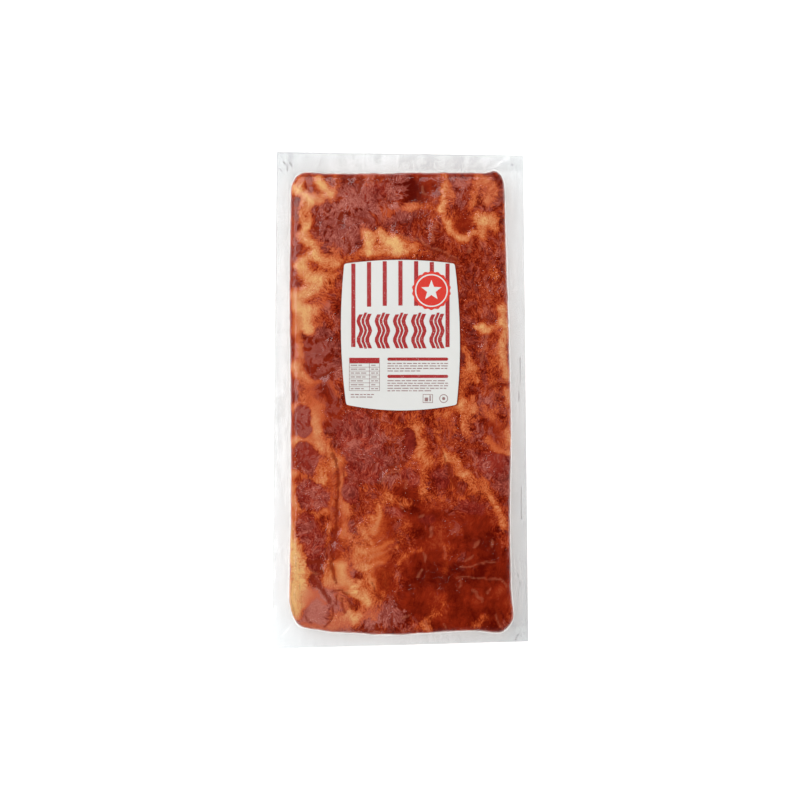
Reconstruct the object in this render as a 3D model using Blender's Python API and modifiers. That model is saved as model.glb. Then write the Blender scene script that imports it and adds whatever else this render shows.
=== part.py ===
"""A vacuum pack of slab bacon, lying on its back.

A slab of smoked belly is sealed between two clear webs. They cling to the slab and are welded
to each other in a flat flange all round it, and a paper label is stuck on the upper web.

    bag     the slab inside its clinging film, with the welded flange, as one sealed body
    label   the paper label on the upper face

Metres, +Z up. The origin is on the surface that the pack lies on, under the middle of the
pack. +Y points to the end of the pack that the label's head points to, and +X to the right.
"""

import math

import bmesh
import bpy
from mathutils import Vector

# Plan of the slab and of the cut edge of the flange. The pack widens a little towards its foot,
# where the slab is rounded, and the flange's right side is cut shorter than its left.
SLAB_LENGTH = 0.317
SLAB_FOOT_BOW = 0.0045
SLAB_WIDTH_AT_HEAD = 0.147
SLAB_WIDTH_AT_FOOT = 0.154
SLAB_LEFT_SIDE = -0.0765
FLANGE_WIDTH_AT_HEAD = 0.173
FLANGE_WIDTH_AT_FOOT = 0.180
FLANGE_LEFT_LENGTH = 0.346
FLANGE_HEAD_SLANT = 0.0015
FLANGE_FOOT_SLANT = 0.0045

# Section of the slab.
SLAB_HEIGHT = 0.034
HEAD_CORNER_RADIUS = 0.008
FOOT_CORNER_RADIUS = 0.013
UPPER_EDGE_RADIUS = 0.007
LOWER_EDGE_RADIUS = 0.006
WALL_DRAFT = 0.0015
RELIEF = 0.0011
RELIEF_LENGTH_X = 0.094
RELIEF_LENGTH_Y = 0.128

# The welded flange.
FLANGE_HEIGHT = 0.0145
FLANGE_THICKNESS = 0.0005
FLANGE_DROOP = 0.0012

# The label, a sheet with four bowed sides that leans a little to the right at its foot.
LABEL_WIDTH = 0.0825
LABEL_LENGTH = 0.1045
LABEL_SIDE_BOW = 0.0029
LABEL_HEAD_BOW = 0.0026
LABEL_FOOT_BOW = 0.0040
LABEL_LEAN = 0.0014
LABEL_X = 0.0003
LABEL_Y = 0.0450
LABEL_THICKNESS = 0.0002
LABEL_GAP = 0.0003

# How finely the curved faces are cut.
CELLS_ACROSS = 14
CELLS_ALONG = 26
ARC_STEPS = 5
CORNER_SLOPES = (0.0, math.tan(math.radians(15)), math.tan(math.radians(30)))
LABEL_CELLS_ACROSS = 12
LABEL_CELLS_ALONG = 15

HALF_WIDTH = (SLAB_WIDTH_AT_HEAD + SLAB_WIDTH_AT_FOOT) / 4
HALF_LENGTH = SLAB_LENGTH / 2


def clear_scene():
    for obj in list(bpy.data.objects):
        bpy.data.objects.remove(obj, do_unlink=True)


def new_collection(name):
    collection = bpy.data.collections.new(name)
    bpy.context.scene.collection.children.link(collection)
    return collection


def plain_material(name, colour, roughness):
    material = bpy.data.materials.new(name)
    material.use_nodes = True
    shader = material.node_tree.nodes["Principled BSDF"]
    shader.inputs["Base Color"].default_value = (*colour, 1)
    shader.inputs["Roughness"].default_value = roughness
    shader.inputs["Metallic"].default_value = 0.0
    return material


def smooth_step(low, high, value):
    share = min(1.0, max(0.0, (value - low) / (high - low)))
    return share * share * (3 - 2 * share)


def relief(x, y):
    """How far the slab's upper face stands above or below its mean height at (x, y)."""
    across = math.sin(math.tau * x / RELIEF_LENGTH_X + 0.8)
    along = math.cos(math.tau * y / RELIEF_LENGTH_Y + 1.9)
    slant = math.sin(math.tau * (x / RELIEF_LENGTH_Y + y / RELIEF_LENGTH_X))
    return RELIEF * (0.55 * across * along + 0.45 * slant)


def slab_plan(across, along):
    """A point of the slab's plan, from its shares of the half width and half length."""
    foot_share = (1 - along) / 2
    width = SLAB_WIDTH_AT_HEAD + (SLAB_WIDTH_AT_FOOT - SLAB_WIDTH_AT_HEAD) * foot_share
    bow = SLAB_FOOT_BOW * (1 - across**2) * min(0.0, along) ** 2
    return SLAB_LEFT_SIDE + width * (1 + across) / 2, along * HALF_LENGTH - bow


def flange_plan(across, along):
    """A point of the flange's cut edge, from the same shares: a rectangle cut a little askew."""
    foot_share, right_share = (1 - along) / 2, (1 + across) / 2
    width = FLANGE_WIDTH_AT_HEAD + (FLANGE_WIDTH_AT_FOOT - FLANGE_WIDTH_AT_HEAD) * foot_share
    head = FLANGE_LEFT_LENGTH / 2 - FLANGE_HEAD_SLANT * right_share
    foot = -FLANGE_LEFT_LENGTH / 2 + FLANGE_FOOT_SLANT * right_share
    return across * width / 2, head + (foot - head) * foot_share


def label_plan(across, along):
    """A point of the label, from its shares of the half width and half length."""
    bow = LABEL_HEAD_BOW if along > 0 else LABEL_FOOT_BOW
    x = across * (LABEL_WIDTH / 2 - LABEL_SIDE_BOW * along**2) - LABEL_LEAN * along / 2
    y = along * (LABEL_LENGTH / 2 - bow * across**2)
    return LABEL_X + x, LABEL_Y + y


def rounded_corner(x, y):
    """Moves a point of the box's corner square onto the round corner of the slab."""
    radius = HEAD_CORNER_RADIUS if y > 0 else FOOT_CORNER_RADIUS
    centre_x = math.copysign(HALF_WIDTH - radius, x)
    centre_y = math.copysign(HALF_LENGTH - radius, y)
    dx, dy = x - centre_x, y - centre_y
    if dx * x <= 0 or dy * y <= 0:
        return x, y
    pull = max(abs(dx), abs(dy)) / math.hypot(dx, dy)
    return centre_x + dx * pull, centre_y + dy * pull


def inset_at(z):
    """How far the slab's side lies inside its widest outline at height z."""
    lean = WALL_DRAFT * abs(z - FLANGE_HEIGHT) / (SLAB_HEIGHT - FLANGE_HEIGHT)
    above = z - (SLAB_HEIGHT - UPPER_EDGE_RADIUS)
    below = LOWER_EDGE_RADIUS - z
    if above > 0:
        return lean + UPPER_EDGE_RADIUS - math.sqrt(max(0.0, UPPER_EDGE_RADIUS**2 - above**2))
    if below > 0:
        return lean + LOWER_EDGE_RADIUS - math.sqrt(max(0.0, LOWER_EDGE_RADIUS**2 - below**2))
    return lean


def section_heights():
    """Heights at which the box is cut: along both edge radii, and at both faces of the flange."""
    turns = [math.pi / 2 * step / ARC_STEPS for step in range(1, ARC_STEPS + 1)]
    lower = [LOWER_EDGE_RADIUS * (1 - math.cos(turn)) for turn in turns]
    upper = [SLAB_HEIGHT - UPPER_EDGE_RADIUS * (1 - math.cos(turn)) for turn in turns]
    flange = [FLANGE_HEIGHT - FLANGE_THICKNESS / 2, FLANGE_HEIGHT + FLANGE_THICKNESS / 2]
    return lower + flange + upper


def corner_cuts(corner, radius):
    """Positions of the cuts that give the round corner at this end of a side even steps."""
    return [corner - math.copysign(radius * (1 - slope), corner) for slope in CORNER_SLOPES]


def even_cuts(half_side, cells):
    """Positions of the cuts that part the straight middle of a side into even cells."""
    reach = half_side - FOOT_CORNER_RADIUS
    return [reach * (2 * cell / cells - 1) for cell in range(1, cells)]


def cut_box(mesh, axis, positions):
    normal = Vector((0, 0, 0))
    normal[axis] = 1
    for position in positions:
        geometry = mesh.verts[:] + mesh.edges[:] + mesh.faces[:]
        bmesh.ops.bisect_plane(
            mesh, geom=geometry, plane_co=normal * position, plane_no=normal, dist=1e-6
        )


def flange_ring(mesh):
    """The ring of side faces between the two faces of the flange."""
    return [
        face
        for face in mesh.faces
        if abs(face.calc_center_median().z - FLANGE_HEIGHT) < FLANGE_THICKNESS / 4
    ]


def pull_out_flange(mesh):
    """Extrudes the ring of side faces and returns the new points, which become the cut edge."""
    ring = flange_ring(mesh)
    pulled = bmesh.ops.extrude_face_region(mesh, geom=ring)["geom"]
    left_behind = [face for face in ring if face.is_valid]
    bmesh.ops.delete(mesh, geom=left_behind, context="FACES_ONLY")
    return {item for item in pulled if isinstance(item, bmesh.types.BMVert)}


def place_on_slab(vertex):
    x, y, z = vertex.co
    inset = inset_at(z)
    x, y = rounded_corner(x, y)
    across = x * (1 - inset / HALF_WIDTH) / HALF_WIDTH
    along = y * (1 - inset / HALF_LENGTH) / HALF_LENGTH
    x, y = slab_plan(across, along)
    vertex.co = (x, y, z + relief(x, y) * smooth_step(FLANGE_HEIGHT, SLAB_HEIGHT, z))


def place_on_cut_edge(vertex):
    x, y = flange_plan(vertex.co.x / HALF_WIDTH, vertex.co.y / HALF_LENGTH)
    vertex.co = (x, y, vertex.co.z - FLANGE_DROOP)


def merge_underside(mesh):
    """Joins the flat faces that the pack lies on into one."""
    flat = [face for face in mesh.faces if face.calc_center_median().z < 1e-6]
    bmesh.ops.dissolve_faces(mesh, faces=flat)


def adopt(obj, collection, material):
    for owner in list(obj.users_collection):
        owner.objects.unlink(obj)
    collection.objects.link(obj)
    obj.data.materials.append(material)


def make_bag(collection):
    bpy.ops.mesh.primitive_cube_add(size=1, location=(0, 0, 0))
    bag = bpy.context.object
    bag.name = bag.data.name = "bag"
    mesh = bmesh.new()
    mesh.from_mesh(bag.data)
    bmesh.ops.translate(mesh, vec=(0, 0, 0.5), verts=mesh.verts)
    bmesh.ops.scale(mesh, vec=(2 * HALF_WIDTH, SLAB_LENGTH, SLAB_HEIGHT), verts=mesh.verts)
    for side in (-HALF_WIDTH, HALF_WIDTH):
        cut_box(mesh, 0, corner_cuts(side, HEAD_CORNER_RADIUS))
        cut_box(mesh, 0, corner_cuts(side, FOOT_CORNER_RADIUS))
    cut_box(mesh, 0, even_cuts(HALF_WIDTH, CELLS_ACROSS))
    cut_box(mesh, 1, corner_cuts(-HALF_LENGTH, FOOT_CORNER_RADIUS))
    cut_box(mesh, 1, corner_cuts(HALF_LENGTH, HEAD_CORNER_RADIUS))
    cut_box(mesh, 1, even_cuts(HALF_LENGTH, CELLS_ALONG))
    cut_box(mesh, 2, section_heights())
    cut_edge = pull_out_flange(mesh)
    for vertex in mesh.verts:
        if vertex in cut_edge:
            place_on_cut_edge(vertex)
        else:
            place_on_slab(vertex)
    merge_underside(mesh)
    bmesh.ops.recalc_face_normals(mesh, faces=mesh.faces[:])
    mesh.to_mesh(bag.data)
    mesh.free()
    bag.data.shade_smooth()
    bag.data.set_sharp_from_angle(angle=math.radians(40))
    adopt(bag, collection, plain_material("smoked_meat_under_film", (0.35, 0.06, 0.03), 0.25))


def make_label(collection):
    bpy.ops.mesh.primitive_grid_add(
        x_subdivisions=LABEL_CELLS_ACROSS, y_subdivisions=LABEL_CELLS_ALONG, size=2
    )
    label = bpy.context.object
    label.name = label.data.name = "label"
    for vertex in label.data.vertices:
        across, along, _ = vertex.co
        x, y = label_plan(across, along)
        vertex.co = (x, y, SLAB_HEIGHT + relief(x, y) + LABEL_GAP)
    paper = label.modifiers.new("paper", "SOLIDIFY")
    paper.thickness = LABEL_THICKNESS
    paper.offset = 1.0
    adopt(label, collection, plain_material("white_label_paper", (0.86, 0.86, 0.84), 0.5))


def main():
    clear_scene()
    pack = new_collection("bacon_pack")
    make_bag(pack)
    make_label(pack)


main()
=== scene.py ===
# %% [markdown]
# # A vacuum pack of slab bacon
# A slab of smoked belly lies sealed between two clear webs of film. The lower web is formed
# like a shallow tray, the upper one is drawn down over the meat by the vacuum, and the two are
# welded to each other in a flat flange all round. A printed paper label is stuck on top.
#
# The CAD model gives the outer size as one closed body, because that is all that collides. A
# look needs more: meat, two sheets of film, paper and ink. Each is a piece of its own here.

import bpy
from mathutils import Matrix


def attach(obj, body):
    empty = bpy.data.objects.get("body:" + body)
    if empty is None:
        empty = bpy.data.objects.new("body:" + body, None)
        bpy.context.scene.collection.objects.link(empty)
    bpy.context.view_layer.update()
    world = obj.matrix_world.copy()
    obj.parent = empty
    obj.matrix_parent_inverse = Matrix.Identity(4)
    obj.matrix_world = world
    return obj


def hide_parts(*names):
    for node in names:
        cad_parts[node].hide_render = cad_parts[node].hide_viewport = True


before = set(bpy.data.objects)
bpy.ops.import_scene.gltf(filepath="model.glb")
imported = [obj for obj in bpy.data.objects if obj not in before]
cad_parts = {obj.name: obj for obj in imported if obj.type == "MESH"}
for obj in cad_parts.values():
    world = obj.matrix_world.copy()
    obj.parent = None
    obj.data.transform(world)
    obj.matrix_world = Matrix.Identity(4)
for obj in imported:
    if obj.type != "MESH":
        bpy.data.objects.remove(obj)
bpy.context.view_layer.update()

# %% Import what the lesson uses
import math
import random

import bpy
import numpy as np
from mathutils import Vector, noise

MM = 0.001

# %% [markdown]
# ## Camera
# The pack lies on its back, and the camera looks straight down on it from high up, so that the
# flange shows on all four sides and hardly any of the side walls does. The lens follows from
# the height and from how wide a stretch of the floor the view takes in.

# %% Place the camera
CAMERA_HEIGHT = 2.4
VIEW_WIDTH = 0.560
FLANGE_Z = 14.5 * MM
bpy.ops.object.camera_add(location=(0, 0, CAMERA_HEIGHT), rotation=(0, 0, 0))
camera = bpy.context.object
camera.name = "camera"
camera.data.lens = camera.data.sensor_width * (CAMERA_HEIGHT - FLANGE_Z) / VIEW_WIDTH
bpy.context.scene.camera = camera
print("lens, mm:", round(camera.data.lens, 1))

# %% [markdown]
# ## Small helpers
# Most of the modelling is done with Blender's own operators, which act on whatever is selected.
# These helpers clear the selection, select edges or faces by their place, and apply modifiers.
# A few more read and write all of a mesh's points at once, as one array.

# %% Selecting and applying
def deselect_all():
    for piece in bpy.context.selected_objects:
        piece.select_set(False)


def activate(piece):
    deselect_all()
    piece.select_set(True)
    bpy.context.view_layer.objects.active = piece


def new_piece(name):
    """Names the primitive that was just added, and moves its place into its mesh."""
    piece = bpy.context.object
    piece.name = piece.data.name = name
    bpy.ops.object.transform_apply(location=True, rotation=True, scale=True)
    return piece


def pick(piece, kind, test):
    """Selects the edges or polygons whose list of points passes the test."""
    mesh = piece.data
    for parts in (mesh.vertices, mesh.edges, mesh.polygons):
        parts.foreach_set("select", [False] * len(parts))
    bpy.context.tool_settings.mesh_select_mode = (False, kind == "edges", kind == "polygons")
    for part in getattr(mesh, kind):
        part.select = test([mesh.vertices[index].co for index in part.vertices])


def edit(piece, operator, **settings):
    """Runs one operator on the selection, in edit mode."""
    activate(piece)
    bpy.ops.object.mode_set(mode="EDIT")
    operator(**settings)
    bpy.ops.object.mode_set(mode="OBJECT")


def modify(piece, kind, **settings):
    """Adds a modifier and applies it at once."""
    modifier = piece.modifiers.new(kind.lower(), kind)
    for setting, value in settings.items():
        setattr(modifier, setting, value)
    activate(piece)
    bpy.ops.object.modifier_apply(modifier=modifier.name)


def triangle_count(piece):
    return sum(len(polygon.vertices) - 2 for polygon in piece.data.polygons)


# %% Points as arrays
def points_of(piece):
    points = np.empty(3 * len(piece.data.vertices), np.float32)
    piece.data.vertices.foreach_get("co", points)
    return points.reshape(-1, 3).astype(float)


def normals_of(piece):
    normals = np.empty(3 * len(piece.data.vertices), np.float32)
    piece.data.vertices.foreach_get("normal", normals)
    return normals.reshape(-1, 3).astype(float)


def put_points(piece, points):
    piece.data.vertices.foreach_set("co", points.astype(np.float32).ravel())
    piece.data.update()


def put_values(piece, name, values):
    """Stores one number for each point, for a material to read."""
    attribute = piece.data.attributes.new(name, "FLOAT", "POINT")
    attribute.data.foreach_set("value", np.asarray(values, np.float32))


# %% Smooth steps and noise
def smooth_step(low, high, value):
    share = np.clip((value - low) / (high - low), 0, 1)
    return share * share * (3 - 2 * share)


SEED_SHIFT = Vector((7.3, -3.1, 5.7))


def bumps(points, size, seed):
    """Smooth noise from -1 to 1, its bumps about this size across. A seed moves the noise on."""
    shift = SEED_SHIFT * seed
    return np.array([noise.noise(Vector(point) / size + shift) for point in points.tolist()])


def layered_bumps(points, layers, seed):
    """The sum of several noises, each a (strength, size) layer with a seed of its own."""
    return sum(
        strength * bumps(points, size, seed + number)
        for number, (strength, size) in enumerate(layers)
    )


# %% [markdown]
# ## The plan that all pieces share
# The slab and both webs follow one plan. It is read from the CAD body: the points at the height
# of the flange's upper face give the slab's outline, and the four points that reach furthest to
# the corners give the flange. The slab's right side is a straight line that leans out towards
# the foot, so a line is fitted to its points, well away from both corners.

# %% Read the outlines from the frame
FLANGE_HALF_THICKNESS = 0.25 * MM
bag_points = np.array([vertex.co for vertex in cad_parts["bag"].data.vertices])
above_flange = bag_points[:, 2] - FLANGE_Z - FLANGE_HALF_THICKNESS
outline = bag_points[np.abs(above_flange) < 0.1 * MM]
from_corners = np.abs(outline[:, 1]) < 0.8 * outline[:, 1].max()
straight = outline[(outline[:, 0] > 0) & from_corners]
RIGHT_SLOPE, RIGHT_X = np.polyfit(straight[:, 1], straight[:, 0], 1)
LEFT_X = outline[:, 0].min()
HEAD_Y = outline[:, 1].max()
FOOT_BOW = -outline[:, 1].min() - HEAD_Y
HALF_WIDTH = (RIGHT_X - LEFT_X) / 2
flange_corners = {
    (side, end): max(bag_points.tolist(), key=lambda point: side * point[0] + end * point[1])
    for side in (-1, 1)
    for end in (-1, 1)
}
print("slab, mm:", round(2 * HALF_WIDTH / MM, 1), "x", round((2 * HEAD_Y + FOOT_BOW) / MM, 1))

# %% [markdown]
# The slab was cut by hand, so none of its sides is quite straight. Each hump below bends the
# outline smoothly. Its numbers are the side it lies on (1 for the right or the head, -1 for the
# left or the foot), how far it reaches out, where its middle lies along that side, and how far
# it spreads. A negative reach draws the outline in. The last one at the head is a small ear,
# where the film has pulled a corner out. `slab_taper` turns a plain rectangle into the slab's
# plan with its humps, and `flange_taper` stretches another one over the flange's four corners.

# %% Humps of the slab's outline
SIDE_HUMPS = [
    (1, 1.0 * MM, 0 * MM, 400 * MM),
    (1, 1.5 * MM, 135 * MM, 55 * MM),
    (1, 2.0 * MM, 50 * MM, 50 * MM),
    (1, 2.1 * MM, -20 * MM, 45 * MM),
    (1, 1.3 * MM, -146 * MM, 9 * MM),
    (-1, 0.9 * MM, 70 * MM, 50 * MM),
    (-1, 0.9 * MM, -114 * MM, 16 * MM),
    (-1, 1.0 * MM, -136 * MM, 10 * MM),
    (-1, -1.2 * MM, 154 * MM, 6 * MM),
    (-1, -1.8 * MM, -154 * MM, 7 * MM),
]
END_HUMPS = [
    (1, 1.0 * MM, -62 * MM, 7 * MM),
    (1, 0.8 * MM, 12 * MM, 14 * MM),
    (1, 0.7 * MM, 44 * MM, 20 * MM),
    (1, 2.8 * MM, 70.5 * MM, 5 * MM),
    (-1, 1.0 * MM, -48 * MM, 10 * MM),
    (-1, 1.4 * MM, -12 * MM, 28 * MM),
    (-1, 3.6 * MM, 68 * MM, 13 * MM),
]


# %% Turn a plain rectangle into the slab's plan
def humped(humps, outward, along, power):
    """How far one pair of sides is bent. A higher power keeps the bend closer to the rim."""
    bend = 0
    for side, reach, middle, spread in humps:
        hump = reach * np.exp(-(((along - middle) / spread) ** 2))
        bend = bend + side * hump * np.clip(side * outward, 0, 1) ** power
    return bend


def slab_taper(x, y):
    """The slab widens towards the foot, and bows out there."""
    across, along = x / HALF_WIDTH, y / HEAD_Y
    width = 2 * HALF_WIDTH + RIGHT_SLOPE * y
    bow = FOOT_BOW * np.clip(1 - across**2, 0, 1) * np.minimum(0, along) ** 2
    side_bend = humped(SIDE_HUMPS, across, y, 3)
    end_bend = humped(END_HUMPS, along, x, 6)
    return LEFT_X + width * (1 + across) / 2 + side_bend, y - bow + end_bend


# %% Turn a plain rectangle into the flange's plan
HEAD_LIFT, FOOT_DROP = 1.0 * MM, 1.4 * MM


def flange_taper(across, along):
    """Across and along run from -1 to 1, and each corner pulls by its share.

    The web was trimmed by hand: both ends are a little longer at the left."""
    place = np.zeros((len(across), 2))
    for (side, end), corner in flange_corners.items():
        share = (1 + side * across) * (1 + end * along) / 4
        place += share[:, None] * np.array(corner[:2])
    head_lift = HEAD_LIFT * np.clip(along, 0, 1) ** 2 * (1 - across) / 2
    foot_drop = FOOT_DROP * np.clip(-along, 0, 1) ** 2 * (1.3 - 0.5 * across) / 1.8
    return place[:, 0], place[:, 1] + head_lift - foot_drop


# %% [markdown]
# The section has round upper and lower edges, walls that lean in a little away from the flange,
# and a slow swell of the upper face. Its heights and the swell are the CAD body's own. The upper
# edge and the corners at the foot are drawn tighter than the CAD's, and the wall is steeper,
# because meat under a drawn film keeps the crispness of its cut.

# %% State the section
TOP_Z = 34 * MM
HEAD_CORNER = 9 * MM
FOOT_CORNER = 9 * MM
UPPER_EDGE = 4 * MM
LOWER_EDGE = 6 * MM
WALL_LEAN = 0.5 * MM
FLANGE_DROOP = 1.2 * MM
FILM_GAP = 0.4 * MM
RELIEF, RELIEF_SHORT, RELIEF_LONG = 1.1 * MM, 94 * MM, 128 * MM


def relief(x, y):
    across = np.sin(math.tau * x / RELIEF_SHORT + 0.8)
    along = np.cos(math.tau * y / RELIEF_LONG + 1.9)
    slant = np.sin(math.tau * (x / RELIEF_LONG + y / RELIEF_SHORT))
    return RELIEF * (0.55 * across * along + 0.45 * slant)


def lean_in(z):
    return WALL_LEAN * np.abs(z - FLANGE_Z) / (TOP_Z - FLANGE_Z)


def swell(x, y, z):
    """The relief, whole on the upper face and fading down the walls."""
    return relief(x, y) * smooth_step(FLANGE_Z + 2 * MM, TOP_Z - 3 * MM, z)


# %% [markdown]
# The label is a rectangle with bowed sides. The film lies flatter under it, because the stiff
# paper spreads the press of the vacuum, so its plan comes before the slab.

# %% Plan of the label
LABEL_X, LABEL_Y = 0.3 * MM, 45 * MM
LABEL_HALF_WIDTH, LABEL_HALF_LENGTH = 41.25 * MM, 52.25 * MM
LABEL_SIDE_BOW, LABEL_HEAD_BOW, LABEL_FOOT_BOW = 2.9 * MM, 2.6 * MM, 4.0 * MM
LABEL_LEAN = 0.7 * MM


def label_plan(across, along):
    """Across and along run from -1 to 1 over the label."""
    bow = np.where(along > 0, LABEL_HEAD_BOW, LABEL_FOOT_BOW)
    half_width = LABEL_HALF_WIDTH - LABEL_SIDE_BOW * along**2
    x = LABEL_X + across * half_width - LABEL_LEAN * along
    y = LABEL_Y + along * (LABEL_HALF_LENGTH - bow * across**2)
    return x, y


def under_label(x, y):
    """1 where the label presses the film flat, fading to 0 around it."""
    past_x = np.abs(x - LABEL_X) - LABEL_HALF_WIDTH
    past_y = np.abs(y - LABEL_Y) - LABEL_HALF_LENGTH
    return 1 - smooth_step(-1 * MM, 3 * MM, np.maximum(past_x, past_y))


# %% [markdown]
# ## The slab: block-out
# A slab of belly is cut square from the side and trimmed, so its plan is nearly a rectangle
# with corners rounded by handling, and its edges are softened by the pull of the film. It starts
# as a box. The upright edges at the head and at the foot are bevelled by their own radius, then
# the upper and lower rims. A voxel remesh turns that into one even net of small faces, fine
# enough to take the lumps of the meat, and a few rounds of smoothing take out its steps.

# %% Block out the slab
SLAB_LOW = Vector((FILM_GAP - HALF_WIDTH, FILM_GAP - HEAD_Y, FILM_GAP))
SLAB_HIGH = Vector((HALF_WIDTH - FILM_GAP, HEAD_Y - FILM_GAP, TOP_Z - FILM_GAP))
SLAB_FACE_SIZE = 1.3 * MM
bpy.ops.mesh.primitive_cube_add(
    size=1, location=(SLAB_LOW + SLAB_HIGH) / 2, scale=SLAB_HIGH - SLAB_LOW
)
slab = new_piece("bacon_slab")


def upright(points, end):
    return abs(points[0].z - points[1].z) > 10 * MM and points[0].y * end > 0


for end, radius in ((1, HEAD_CORNER), (-1, FOOT_CORNER)):
    pick(slab, "edges", lambda points: upright(points, end))
    edit(slab, bpy.ops.mesh.bevel, offset=radius, segments=8, affect="EDGES")
for level, radius in ((SLAB_HIGH.z, UPPER_EDGE), (SLAB_LOW.z, LOWER_EDGE)):
    pick(slab, "edges", lambda points: all(abs(point.z - level) < 0.01 * MM for point in points))
    edit(slab, bpy.ops.mesh.bevel, offset=radius - FILM_GAP, segments=6, affect="EDGES")

modify(slab, "REMESH", mode="VOXEL", voxel_size=SLAB_FACE_SIZE)
modify(slab, "SMOOTH", factor=0.5, iterations=4)
print("slab triangles:", triangle_count(slab))

# %% [markdown]
# ## The slab: where fat, seams and ribs run
# What a buyer sees on this face is where the lean was cut from the ribs: streaks and islands of fat
# between the muscles, a few deep seams, thin light ridges of sinew, and zones where the film stands a
# hair off the meat and looks cloudy. The dark of the seams is painted shade, the light of the ridges a
# painted highlight, and the cloudy zones a painted haze: the film's reflection of the light, painted
# into the meat. No noise gives such a pattern, because each streak follows a muscle. So they are
# painted as strokes: each is a path over the upper face in whole millimetres, x to the right and y to
# the head, with a radius. A fat stroke also says how creamy it is, from 0, orange smoked fat, to 1,
# pale fat.

# %% Fat at the head end
FAT_AT_HEAD = [
    (0.8, 2.3, [(-73, 147), (-68, 143), (-60, 139), (-55, 139)]),
    (1, 2.8, [(-57, 152), (-52, 147), (-48, 144)]),
    (0.5, 1.6, [(-68, 153), (-70, 149)]),
    (0.15, 2.3, [(-45, 155), (-44, 147), (-47, 141)]),
    (0.6, 1, [(-68, 139), (-68, 132), (-68, 125), (-67, 119)]),
    (0.6, 1, [(-63, 137), (-63, 131), (-63, 125), (-65, 120)]),
    (0.8, 2.2, [(-68, 115), (-65, 112), (-61, 107), (-59, 102)]),
    (0.1, 1.2, [(-57, 115), (-55, 109)]),
    (0.7, 2.2, [(-72, 94), (-66, 99), (-53, 98)]),
    (0.15, 1.8, [(-47, 96), (-40, 96), (-33, 99), (-28, 101)]),
    (0.8, 2.4, [(-24, 118), (-21, 112), (-23, 104)]),
    (0.9, 3.4, [(-14, 116), (-11, 111), (-5, 109)]),
    (0.6, 2.4, [(-21, 103), (-11, 103), (0, 104)]),
    (0.2, 2.2, [(4, 110), (10, 102)]),
    (0.1, 1.5, [(-2, 132), (2, 134), (10, 133)]),
    (0.45, 4.6, [(60, 151), (64, 147), (61, 139)]),
    (0.3, 2.4, [(54, 155), (50, 141), (49, 136)]),
    (0.6, 2.6, [(54, 127), (56, 122), (56, 115)]),
    (0.4, 1.8, [(59, 125), (66, 126)]),
    (0.6, 1.3, [
        (30, 150), (31, 141), (28, 133), (32, 124), (35, 117), (40, 113), (46, 113), (50, 117)]),
    (0.3, 1.1, [(31, 157), (34, 150), (37, 140)]),
    (0.15, 1.2, [(4, 133), (10, 136), (16, 135), (23, 133), (28, 133)]),
    (0.1, 3, [(-4, 112), (4, 108), (13, 105), (21, 102)]),
    (0.5, 2.2, [(-4, 112), (-1, 108), (-2, 102)]),
    (0.4, 2, [(61, 125), (66, 119)]),
    (0.3, 2.4, [(-46, 104), (-46, 88)]),
    (0.25, 2.6, [(33, 134), (36, 127)]),
    (0.2, 2.4, [(62, 94), (68, 86)]),
    (0.2, 1.6, [(75, 146), (75, 110), (76, 84)]),
]

# %% Fat beside the label
FAT_BY_LABEL = [
    (0.8, 4, [(-68, 92), (-63, 85), (-57, 84)]),
    (0.25, 3, [(-53, 92), (-49, 80)]),
    (0.8, 4.2, [(-72, 72), (-66, 75), (-59, 77)]),
    (0.7, 3.6, [(-70, 65), (-66, 61), (-61, 63)]),
    (0.6, 2.4, [(-72, 64), (-71, 55), (-72, 49)]),
    (0.9, 2.4, [(-65, 61), (-65, 52), (-63, 49)]),
    (0.15, 2.2, [(-52, 73), (-55, 66), (-57, 55), (-63, 48)]),
    (0.15, 2.4, [(-73, 45), (-70, 39), (-70, 31), (-72, 23)]),
    (0.45, 1.6, [(-74, 24), (-73, 18)]),
    (0.1, 1.8, [(-76, 132), (-76, 108)]),
    (0.1, 3, [(-71, 40), (-68, 30), (-70, 8)]),
    (0.3, 1.2, [(-67, 19), (-61, 13), (-57, 13)]),
    (0.35, 2, [(-75, -4), (-68, -3), (-63, -12), (-60, -18)]),
    (0.15, 2.6, [(-66, 2), (-57, -6), (-52, -13)]),
    (0.7, 1.8, [(71, 65), (73, 54), (72, 41), (72, 27), (73, 17)]),
    (0.8, 1.8, [(56, 51), (58, 49)]),
    (0.4, 1.2, [(60, 51), (66, 51), (70, 54)]),
    (0.35, 1.4, [(43, 35), (47, 29), (51, 21), (54, 14)]),
    (0.2, 2.8, [(46, 22), (45, 13), (42, 2)]),
    (0.5, 1, [(50, 2), (51, -7)]),
    (0.25, 2.2, [(27, -8), (36, -6), (44, -2)]),
    (0.5, 1, [(74, 7), (76, -2)]),
    (0.1, 2.6, [(66, 34), (64, 20), (66, 8), (68, -4)]),
    (0.15, 3, [(44, -6), (52, -13)]),
    (0.1, 2.4, [(57, -5), (63, -12)]),
    (0.15, 2.4, [(-66, 14), (-60, 4), (-54, -2)]),
    (0.2, 1.6, [(76, 12), (76, -26)]),
    (0.25, 3, [(44, -8), (46, -24)]),
    (0.2, 2.6, [(0, -19), (9, -22)]),
    (0.15, 3, [(-48, 12), (-44, 4)]),
]

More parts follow.
